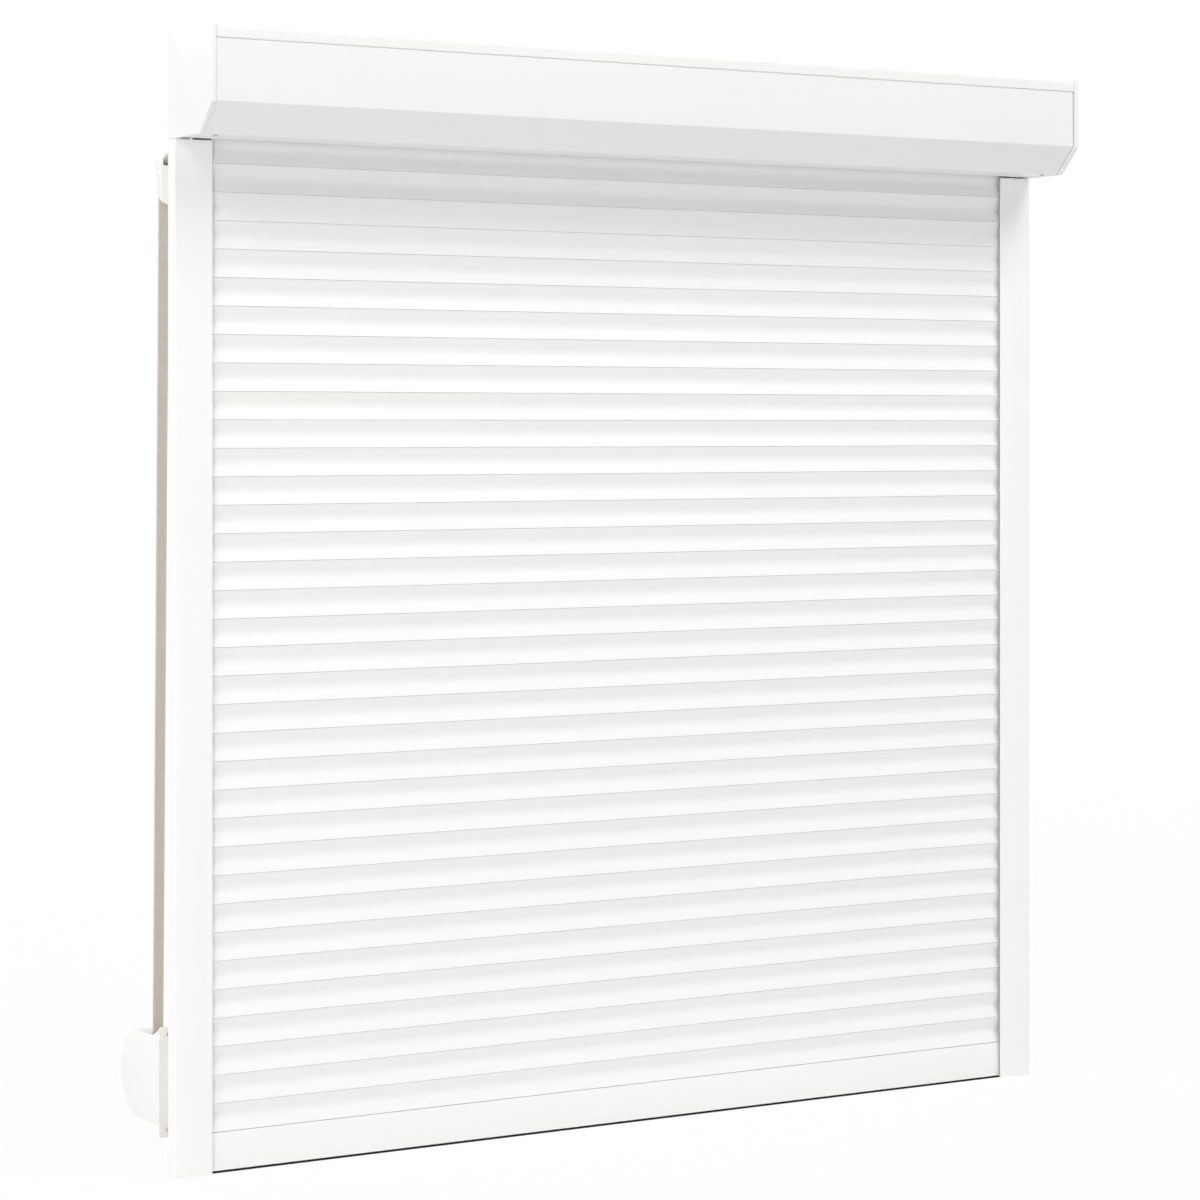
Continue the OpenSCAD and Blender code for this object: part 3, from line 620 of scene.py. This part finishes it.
white_plastic = plastic(
    "white_plastic", (0.93, 0.925, 0.905, 1), flow=(0.915, 0.908, 0.885, 1), roughness=0.38, bump=0.12
)
grey_plastic = plastic("grey_plastic", (0.2, 0.2, 0.2, 1), flow=(0.16, 0.16, 0.16, 1), roughness=0.5, bump=0.2)
finish_node("roller_tube", tube_steel)
finish_node("strap_pulley", white_plastic)
finish_node("tube_plug", grey_plastic)
finish_node("bearing_left", bearing_steel)
finish_node("bearing_right", bearing_steel)


# Guide rails: extruded coated aluminium with a hollow outer chamber and a slot for the slats' ends.
# Each is screwed to the wall through holes in the chamber's back, and the end cap's tongue plugs into its top.
rail_white = coated(
    "rail_white", (0.935, 0.935, 0.92, 1), patch=(0.915, 0.915, 0.9, 1),
    lines=(1, 1, 0.04), gloss=(0.3, 0.4), bump=0.12,
)
rail_top, rail_foot = -69.7, -1408.5
rail_section = [
    (0, -22, 1.2), (53, -22, 0.5), (53, -18.6, 0.6), (51.4, -18.6, 0.5), (51.4, -20.4, 0.3), (35, -20.4, 0.3),
    (35, -1.6, 0.3), (51.4, -1.6, 0.3), (51.4, -3.4, 0.5), (53, -3.4, 0.6), (53, 0, 0.8), (0, 0, 0.8),
]
rail_chamber, chamber_corner = oblong(1.6, -20.4, 33.4, -1.6), 0.5
fixing_inset, fixing_radius, fixing_heights = 13, 3, (-218.5, -1258.5)
fixing_start, fixing_deep = -3, 6
along_y = Matrix.Rotation(-math.pi / 2, 4, "X")


def drill(piece, radius, deep, starts):
    """Drills holes along Y, each from its own start."""
    holes = bmesh.new()
    for start in starts:
        add_lathe(holes, [(0, 0), (radius, 0), (radius, deep), (0, deep)], Matrix.Translation(start) @ along_y)
    combine(piece, piece_of("cutter", holes), "DIFFERENCE")


for hand, side in hands:
    loops = [rounded(rail_section), rounded(rail_chamber, chamber_corner)]
    loops = [[(side * (cap_half - u), v) for u, v in loop] for loop in loops]
    rail = extruded("guide_rail_" + hand, loops, "z", rail_foot, rail_top)
    fixing_x = side * (cap_half - fixing_inset)
    drill(rail, fixing_radius, fixing_deep, [(fixing_x, fixing_start, z) for z in fixing_heights])
    fit(rail, rail_white, "casing", "rail_white", "rail_" + hand)


# Sealing strips in the rails' slots: taupe brush pile on a thin base, pushed in behind the slot's beads.
# The pile stands towards the slats from the front and the back and quiets them.
pile_colour, pile_shade = (0.56, 0.515, 0.465, 1), (0.36, 0.33, 0.297, 1)
pile_near, pile_far, pile_tufts = 641.7, 646.5, 335
near_flare, far_flare = 1.15, 0.6
pile_depths = ((-20.35, -15.3), (-1.65, -6.7))
seal_pile, tree, shader = new_material("seal_pile", Roughness=0.9, Sheen_Weight=0.3)
spot = put(tree, "TexCoord").outputs["Object"]
hairs = noise(tree, stretched(tree, spot, (1, 0.08, 1)), scale=1800, detail=3, roughness=0.7)
tufts = noise(tree, spot, scale=150, detail=2)
pile_mask = math_of(tree, "MULTIPLY", span(tree, hairs, 0.3, 0.7, 0, 1), span(tree, tufts, 0.3, 0.7, 0.5, 1))
dress(tree, shader, blend_colour(tree, pile_mask, pile_shade, pile_colour), hairs, bump=0.6, depth=0.0006)


def loft(shape, rows):
    """Joins rings of points into a skin and closes it at both ends."""
    for low, high in zip(rows, rows[1:]):
        for k in range(len(low)):
            shape.faces.new((low[k - 1], low[k], high[k], high[k - 1]))
    shape.faces.new(rows[0])
    shape.faces.new(rows[-1])


def pile_strip(shape, side, root, tip):
    """One brush strip: a base along the rail and tufts whose tips wander a little in depth and height."""
    near, far = side * pile_near, side * pile_far
    waist = root + (tip - root) * 0.25
    rows = []
    for k in range(pile_tufts + 1):
        z = rail_foot + (rail_top - rail_foot) * k / pile_tufts
        lean = 0.12 * math.sin(k * 1.7) + 0.09 * math.sin(k * 0.61 + 2)
        worn_off = 0.1 + 0.08 * math.sin(k * 2.3) if k % 2 else 0.02
        top = tip + (root - tip) * worn_off
        ring = [
            (near, root), (near, waist), (near - side * (near_flare - lean), top),
            (far - side * (far_flare - lean), top), (far, waist), (far, root),
        ]
        rows.append([shape.verts.new((x, y, z)) for x, y in ring])
    loft(shape, rows)


for hand, side in hands:
    shape = bmesh.new()
    for root, tip in pile_depths:
        pile_strip(shape, side, root, tip)
    pile = piece_of("rail_pile_" + hand, shape, 60)
    fit(pile, seal_pile, "casing", "seal_pile", "rail_seals_" + hand)


# Inlet funnels on top of the rails: mouths moulded in dark grey plastic, plugged into the rails' slots.
# They lead the slats from the box into the slots.
finish_node("inlet_funnels", grey_plastic)


# Curtain slats: roll-formed coated aluminium, hollow, each hooked into the groove under the next one above.
# The face is dished and flares to a lip, with a crease below the seam. Three slats make one run of the lift.
slat_white = coated(
    "slat_white", (0.908, 0.907, 0.89, 1), patch=(0.89, 0.889, 0.87, 1),
    lines=(0.03, 1, 1), gloss=(0.34, 0.44), bump=0.1,
)
slat_pitch, slat_half, slat_end = 37, 4, 656
slat_skin, drip = 0.5, 0.6
face_slopes = [(0, 0.29), (11.5, 0.285), (23.5, -0.29), (27, -0.255), (slat_pitch, -0.25)]
face_low, face_high, face_steps = 0.8, slat_pitch - 0.95, 28
hollow_low, hollow_high, hollow_steps = 7.5, 33.3, 12
curtain_y, bar_top = -11, -1355.5
hook_y, neck, knob, hook_play = 0.8, 1.2, 2, 0.4
runs, rows_in_run = 12, 3


def slat_face(s):
    """Front of a slat, s above its lower edge: it runs from the flared lip through the dish to the crease."""
    y = -slat_half + face_slopes[0][1] * min(s, 0)
    for (low, lower), (high, upper) in zip(face_slopes, face_slopes[1:]):
        part = min(max(s - low, 0), high - low)
        y += part * (lower + (upper - lower) * part / (high - low) / 2)
    return y


def hook(h):
    """Outline of the hook on top of a slat or the end bar, whose shoulder is at height h."""
    y = hook_y
    return [
        (y - neck, h - 0.3, 0.4), (y - neck, h + 2.8, 0.3), (y - knob, h + 3.2, 0.5), (y - knob, h + 5.4, 0.9),
        (y + knob, h + 5.4, 0.9), (y + knob, h + 3.2, 0.5), (y + neck, h + 2.8, 0.3), (y + neck, h - 0.3, 0.4),
    ]


def even(low, high, steps):
    return [low + (high - low) * i / steps for i in range(steps + 1)]


play, gape = neck + hook_play, knob + hook_play
slat_outline = [(-3.65, 0.3, 0.1), (-3.7, -drip, 0.1), (slat_face(-drip), -drip, 0.2)]
slat_outline += [(slat_face(s), s) for s in even(face_low, face_high, face_steps)]
slat_outline += hook(slat_pitch)
slat_outline += [
    (3.4, slat_pitch * 0.93, 2), (slat_half, slat_pitch * 0.78, 4), (slat_half, 3, 1), (3.5, 0.3, 0.3),
    (hook_y + play, 0.3, 0.2), (hook_y + play, 2.2, 0.2), (hook_y + gape, 2.6, 0.2), (hook_y + gape, 7, 0.8),
    (hook_y - gape, 7, 0.8), (hook_y - gape, 2.6, 0.2), (hook_y - play, 2.2, 0.2), (hook_y - play, 0.3, 0.2),
]
slat_hollow = [(slat_face(s) + slat_skin, s) for s in even(hollow_low, hollow_high, hollow_steps)]
slat_hollow += [(2.6, hollow_high, 0.5), (3.5, 28.1, 1), (3.5, hollow_low, 0.4)]
slat_loops = [rounded(loop, step=30) for loop in (slat_outline, slat_hollow)]
for run in range(1, runs + 1):
    rows_below = (runs - run) * rows_in_run
    shape = bmesh.new()
    for row in reversed(range(rows_in_run)):
        slat_low = bar_top + slat_pitch * (rows_below + row)
        add_prism(shape, [shifted(loop, curtain_y, slat_low) for loop in slat_loops], "x", -slat_end, slat_end)
    curtain_run = piece_of("curtain_run_%02d" % run, shape, 24)
    fit(curtain_run, slat_white, "curtain_%02d" % run, "slat_white", "slat_run_%02d" % run)
    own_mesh(curtain_run)


# Hanger strips: spring steel, riveted round the tube and hooked over the top slat.
# They take up the short stretch above the curtain as it rises.
spring_steel = bare_metal(
    "spring_steel", (0.4, 0.41, 0.43, 1), dull=(0.24, 0.25, 0.27, 1), lines=(0.05, 1, 1), scale=700, bump=0.15
)
hanger_thick, hanger_bend, hanger_half, hanger_pitch = 0.7, 3, 12.5, 300
tube_side, tube_flat = -48.2, 8.2
hook_z, hook_front = -23.5, curtain_y + hook_y - neck - 0.3
hanger_path = [
    (tube_side, tube_flat), (tube_side, -tube_flat), (hook_front, hook_z + 2.5), (hook_front, hook_z + 0.4)
]
hanger_loop = folded(hanger_path, hanger_thick, hanger_bend)
shape = bmesh.new()
for middle in (-hanger_pitch, 0, hanger_pitch):
    add_prism(shape, [hanger_loop], "x", middle - hanger_half, middle + hanger_half)
hanger_strips = piece_of("hanger_strips", shape)
fit(hanger_strips, spring_steel, "curtain_01", "spring_steel", "hangers")
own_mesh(hanger_strips)


# End bar: extruded coated aluminium with the slats' hook on top, a flat face and a groove below.
# Its seam with the last slat shows as a dark line.
bar_white = coated(
    "bar_white", (0.928, 0.928, 0.914, 1), patch=(0.912, 0.912, 0.897, 1),
    lines=(0.03, 1, 1), gloss=(0.3, 0.4), bump=0.1,
)
bar_half, bar_deep, bar_shoulder = 4, 51, -1.3
groove_half, groove_roof = 1.3, -46.5
bar_section = [(-bar_half, -bar_deep, 0.6), (-bar_half, bar_shoulder, 0.5)] + hook(-1)[:1] + hook(0)[1:]
bar_section += [
    (bar_half, bar_shoulder, 0.8), (bar_half, -bar_deep, 0.6), (groove_half, -bar_deep, 0.2),
    (groove_half, groove_roof, 0.2), (-groove_half, groove_roof, 0.2), (-groove_half, -bar_deep, 0.2),
]
bar_chamber, bar_chamber_corner = oblong(-2.8, -2.8, 2.8, -45.3), 0.5
bar_loops = [rounded(bar_section, step=20), rounded(bar_chamber, bar_chamber_corner, 20)]
bar_loops = [shifted(loop, curtain_y, bar_top) for loop in bar_loops]
end_bar = extruded("end_bar_profile", bar_loops, "x", -slat_end, slat_end)
fit(end_bar, bar_white, "end_bar", "slat_white", "bottom_bar")


# Rubber strip under the end bar: black, extruded, with a rounded foot that seals on the sill.
# It is pushed into the bar's groove from its end.
rubber_black, rubber_bloom = (0.006, 0.006, 0.007, 1), (0.022, 0.022, 0.022, 1)
foot_rubber, tree, shader = new_material("foot_rubber", Specular_IOR_Level=0.25)
spot = put(tree, "TexCoord").outputs["Object"]
bloom = noise(tree, spot, scale=60, detail=5, roughness=0.7)
pores = noise(tree, spot, scale=1600, detail=2)
dress(
    tree, shader, blend_colour(tree, span(tree, bloom, 0.45, 0.75, 0, 0.6), rubber_black, rubber_bloom),
    pores, bump=0.3, depth=0.0002, roughness=span(tree, bloom, 0.3, 0.7, 0.5, 0.75),
)
rubber_outline = [
    (-3, -3.5, 1.4), (3, -3.5, 1.4), (3, 0, 0.2), (groove_half, 0, 0.1),
    (groove_half, 4, 0.4), (-groove_half, 4, 0.4), (-groove_half, 0, 0.1), (-3, 0, 0.2),
]
rubber_loop = shifted(rounded(rubber_outline), curtain_y, bar_top - bar_deep)
rubber = extruded("end_bar_rubber", [rubber_loop], "x", -slat_end, slat_end)
fit(rubber, foot_rubber, "end_bar", "foot_rubber", "bottom_seal")


# Strap: woven taupe webbing with firm pale edges. It leaves the pulley through the box's back, turns over
# the guide roller and runs down to the winder. Its spare turns lie wound on the pulley and on the drum.
strap_wide, strap_thick, strap_air = 15, 1.2, 0.3
pick_pitch, end_pitch, stripe_pitch = 0.0016, 0.0012, 0.006
yarn_warm, yarn_cool, painted_weave_shade = (0.61, 0.54, 0.49, 1), (0.585, 0.555, 0.475, 1), (0.44, 0.395, 0.35, 1)
yarn_slub, yarn_edge = (0.66, 0.61, 0.56, 1), (0.74, 0.7, 0.65, 1)
strap_web, tree, shader = new_material("strap_web", Roughness=0.82, Sheen_Weight=0.25)


def wave(tree, value, pitch, phase=0.0):
    return math_of(tree, "SINE", math_of(tree, "MULTIPLY_ADD", value, 2 * math.pi / pitch, phase))


along = put(tree, "Attribute", {"attribute_name": "strap_run"}).outputs["Fac"]
spot = put(tree, "TexCoord").outputs["Object"]
across = math_of(tree, "ADD", put(tree, "SeparateXYZ", Vector=spot).outputs[0], -strap_x * MM)
weave = math_of(tree, "MULTIPLY", wave(tree, along, pick_pitch), wave(tree, across, end_pitch))
from_edge = math_of(tree, "SUBTRACT", strap_wide / 2 * MM, math_of(tree, "ABSOLUTE", across))
selvedge = span(tree, from_edge, 0.0008, 0.0022, 1, 0)
slub = noise(tree, spot, scale=220, detail=3)
stripe = wave(tree, across, stripe_pitch, 0.6)
yarn = blend_colour(tree, span(tree, stripe, -1, 1, 0, 1), yarn_warm, yarn_cool)
# Painted shade: the yarn colour darkens where the weave dips, in the gaps between the yarns.
shaded = blend_colour(tree, span(tree, weave, -1, 1, 0.35, 0), yarn, painted_weave_shade)
slubbed = blend_colour(tree, span(tree, slub, 0.45, 0.75, 0, 0.5), shaded, yarn_slub)
edged = blend_colour(tree, math_of(tree, "MULTIPLY", selvedge, 0.5), slubbed, yarn_edge)
dress(tree, shader, edged, math_of(tree, "MULTIPLY_ADD", weave, 0.5, slub), bump=0.5, depth=0.0004)


def webbing(name, path):
    """Flat band along a path of Y and Z in mm, crowned, with round selvedges; keeps the length along it."""
    path = [Vector(p) for p in path]
    half, t = strap_wide / 2, strap_thick / 2
    ring = [
        (-half + 0.5, -t), (-half, -t * 0.5), (-half, t * 0.5), (-half + 0.5, t), (-half + 2, t * 0.86),
        (0, t * 0.92), (half - 2, t * 0.86),
    ]
    ring += [(-x, -out) for x, out in ring]
    shape = bmesh.new()
    length_layer = shape.verts.layers.float.new("strap_run")
    rows, length = [], 0.0
    for i, p in enumerate(path):
        length += (p - path[i - 1]).length if i else 0
        way = (path[min(i + 1, len(path) - 1)] - path[max(i - 1, 0)]).normalized()
        row = []
        for x, out in ring:
            at = p + offset_side(way) * out
            row.append(shape.verts.new((strap_x + x, at.x, at.y)))
            row[-1][length_layer] = length * MM
        rows.append(row)
    loft(shape, rows)
    return piece_of(name, shape, 50)


def wound(hub, core, build, turns, steps_in_turn=40):
    """Path of a spiral of strap on a core of this radius, which fills build."""
    steps = turns * steps_in_turn
    radii = [core + strap_thick / 2 + 0.05 + (build - strap_thick - 0.1) * k / steps for k in range(steps + 1)]
    angles = [2 * math.pi * k / steps_in_turn for k in range(steps + 1)]
    return [hub + r * Vector((math.cos(a), math.sin(a))) for a, r in zip(angles, radii)]


pulley_at, guide_at, drum_at = Vector((-68.5, 0)), Vector((64, -102)), Vector((125, -1298.5))
strap_mid = strap_thick / 2 + strap_air
pulley_r, turn_r, drum_r = 29 + strap_mid, 5.5 + strap_mid, 33 + strap_mid
over, down = guide_at - pulley_at, drum_at - guide_at
slope_in = math.atan2(over.y, over.x) + math.asin((pulley_r + turn_r) / over.length)
slope_out = math.atan2(down.y, down.x) - math.asin((turn_r + drum_r) / down.length)
leaves = pulley_at + pulley_r * Vector((math.sin(slope_in), -math.cos(slope_in)))
enters = drum_at + drum_r * Vector((math.sin(slope_out), -math.cos(slope_out)))
bend = even(slope_in + math.pi / 2, slope_out + math.pi / 2, 16)
curve = [guide_at + turn_r * Vector((math.cos(a), math.sin(a))) for a in bend]
route = [leaves.lerp(curve[0], i / 6) for i in range(6)] + curve
route += [curve[-1].lerp(enters, i / 40) for i in range(1, 41)]
fit(webbing("strap_running", route), strap_web, "casing", "strap_web", "strap")
on_pulley = webbing("strap_turns_pulley", wound(pulley_at, core=22, build=7, turns=4))
fit(on_pulley, strap_web, "roller", "strap_web", "strap_roll_upper")
on_drum = webbing("strap_turns_drum", wound(drum_at, core=28, build=5, turns=3))
fit(on_drum, strap_web, "spool", "strap_web", "strap_roll_lower")


# Strap guide on the room side of the wall: cream moulded plate with round ends and a hood over a small roller.
# The strap comes through the wall into its opening and bends down over the roller.
cream_plastic = plastic(
    "cream_plastic", (0.935, 0.923, 0.878, 1), flow=(0.92, 0.906, 0.858, 1), roughness=0.4, bump=0.1
)
plate_front, plate_back, hood_back = 53, 60, 75
plate_half, plate_top, plate_low, plate_edge = 11.5, -81.5, -148.5, 1.2
hood_half, hood_wall, hood_top, hood_low, hood_edge = 10.5, 2, -84.5, -110.5, 0.8
hood_root, mouth_root, mouth_drop = 2, 2.6, 9
window_low = -98
rim = even(0, math.pi, 24)
round_end = [(plate_half * math.cos(a), plate_half * math.sin(a)) for a in rim]
stadium = shifted(round_end, strap_x, plate_top - plate_half)
stadium += shifted([(-u, -v) for u, v in round_end], strap_x, plate_low + plate_half)
guide = extruded("strap_guide", [stadium], "y", plate_front, plate_back)
soften(guide, plate_edge, 3)
hood_outline = [
    (plate_back - hood_root, hood_top), (hood_back, hood_top, 9),
    (hood_back, hood_low, 1.5), (plate_back - hood_root, hood_low),
]
hood = extruded("hood", [rounded(hood_outline)], "x", strap_x - hood_half, strap_x + hood_half)
soften(hood, hood_edge, 2)
combine(guide, hood, "UNION")
mouth_half, mouth_top, mouth_back = hood_half - hood_wall, hood_top - hood_wall, hood_back - hood_wall
mouth = [
    (plate_back - mouth_root, mouth_top, 1), (mouth_back, mouth_top, 7),
    (mouth_back, hood_low - mouth_drop), (plate_back, hood_low - mouth_drop),
    (plate_back, hood_low + 0.5), (plate_back - mouth_root, hood_low + 0.5),
]
cut_through(guide, rounded(mouth), "x", strap_x - mouth_half, strap_x + mouth_half)
window = [
    (-mouth_half, window_low, 1), (mouth_half, window_low, 1),
    (mouth_half, mouth_top, 6), (-mouth_half, mouth_top, 6),
]
cut_through(guide, shifted(rounded(window), strap_x, 0), "y", plate_front - 3, plate_back - 1)
fit(guide, cream_plastic, "casing", "white_plastic", "guide_plate")
finish_node("guide_roller", white_plastic)
finish_node("guide_pin", bearing_steel)


# Strap winder on the room side: a moulded flange carries a round white case with the spring drum inside.
# The strap enters the case through a slot in its top, between two cheeks.
# The flange is held to the wall by two brass screws through its tabs.
case_low, case_high = box_mm("winder_case")
case_radius, case_wall, case_edge, flange_back = 58, 1.6, 2.2, 55.5
case_top = drum_at.y + case_radius
entry_half, entry_reach, entry_corner = 8.5, 5, 1.2
cheek_root, cheek_rise, cheek_back, cheek_inset = case_top - 2.5, 13, 84, 0.3


def case_outline(inset, front):
    """The case seen from its side: a half round behind the drum's axis and straight walls to the flange."""
    r = case_radius - inset
    bow = [(r * math.cos(a), r * math.sin(a)) for a in even(-math.pi / 2, math.pi / 2, 48)]
    return [(front, drum_at.y - r)] + shifted(bow, drum_at.x, drum_at.y) + [(front, drum_at.y + r)]


case = extruded("winder_housing", [case_outline(0, flange_back - 0.01)], "x", case_low.x, case_high.x)
soften(case, case_edge, 4)
case_hollow = case_outline(case_wall, flange_back - 2.01)
cut_through(case, case_hollow, "x", case_low.x + case_wall, case_high.x - case_wall)
entry = rounded(oblong(-entry_half, -entry_reach, entry_half, entry_reach), entry_corner)
cut_through(case, shifted(entry, strap_x, enters.x), "z", case_top - 8, case_top + 4)
fit(case, white_plastic, "casing", "white_plastic", "winder_case")
cheek_outline = [
    (flange_back, cheek_root), (cheek_back, cheek_root),
    (flange_back + 2, cheek_root + cheek_rise), (flange_back, cheek_root + cheek_rise),
]
cheeks = bmesh.new()
for edge in (case_low.x + cheek_inset, case_high.x - cheek_inset - case_wall):
    add_prism(cheeks, [rounded(cheek_outline, 0.6)], "x", edge, edge + case_wall)
fit(piece_of("winder_cheeks", cheeks), white_plastic, "casing", "white_plastic")

flange_low, flange_high = box_mm("winder_flange")
flange_corner, flange_edge = 3, 0.5
tab_rise, field_deep, screw_inset = 18, 1.25, 9
bore_radius, bore_deep = 3.55, 8
flange_outline = oblong(flange_low.x, flange_low.z, flange_high.x, flange_high.z)
flange = extruded("winder_mount", [rounded(flange_outline, flange_corner)], "y", flange_low.y, flange_high.y)
soften(flange, flange_edge, 2)
field = oblong(
    flange_low.y - 1, flange_low.z + tab_rise, flange_low.y + field_deep, flange_high.z - tab_rise
)
cut_through(flange, field, "x", flange_low.x - 1, flange_high.x + 1)
screw_heights = (flange_low.z + screw_inset, flange_high.z - screw_inset)
drill(flange, bore_radius, bore_deep, [(strap_x, flange_low.y - 2, z) for z in screw_heights])
fit(flange, cream_plastic, "casing", "white_plastic", "winder_flange")

brass = bare_metal(
    "brass", (0.62, 0.44, 0.2, 1), dull=(0.36, 0.25, 0.11, 1), lines=(1, 1, 1), scale=900, bump=0.15
)
brass_places = [Matrix.Translation((strap_x, flange_back, z)) @ along_y for z in screw_heights]
brass_screws = screws("winder_brass_screws", brass_places, head=(4.6, 2), shank=3.5, length=16.5, thread=1.4)
fit(brass_screws, brass, "casing", "brass", "winder_screws")

axle_radius, axle_ease = 4, 0.4
axle_left, axle_right = case_low.x + 0.5, case_high.x - 0.5
axle_profile = [
    (0, axle_left), (axle_radius - axle_ease, axle_left), (axle_radius, axle_left + axle_ease),
    (axle_radius, axle_right - axle_ease), (axle_radius - axle_ease, axle_right), (0, axle_right),
]
along_x = Matrix.Rotation(math.pi / 2, 4, "Y")
axle = bmesh.new()
add_lathe(axle, axle_profile, Matrix.Translation((0, drum_at.x, drum_at.y)) @ along_x)
fit(piece_of("winder_pin", axle), bearing_steel, "casing", "bearing_steel", "winder_axle")
finish_node("winder_drum", white_plastic)
finish_node("winder_spring", spring_steel)
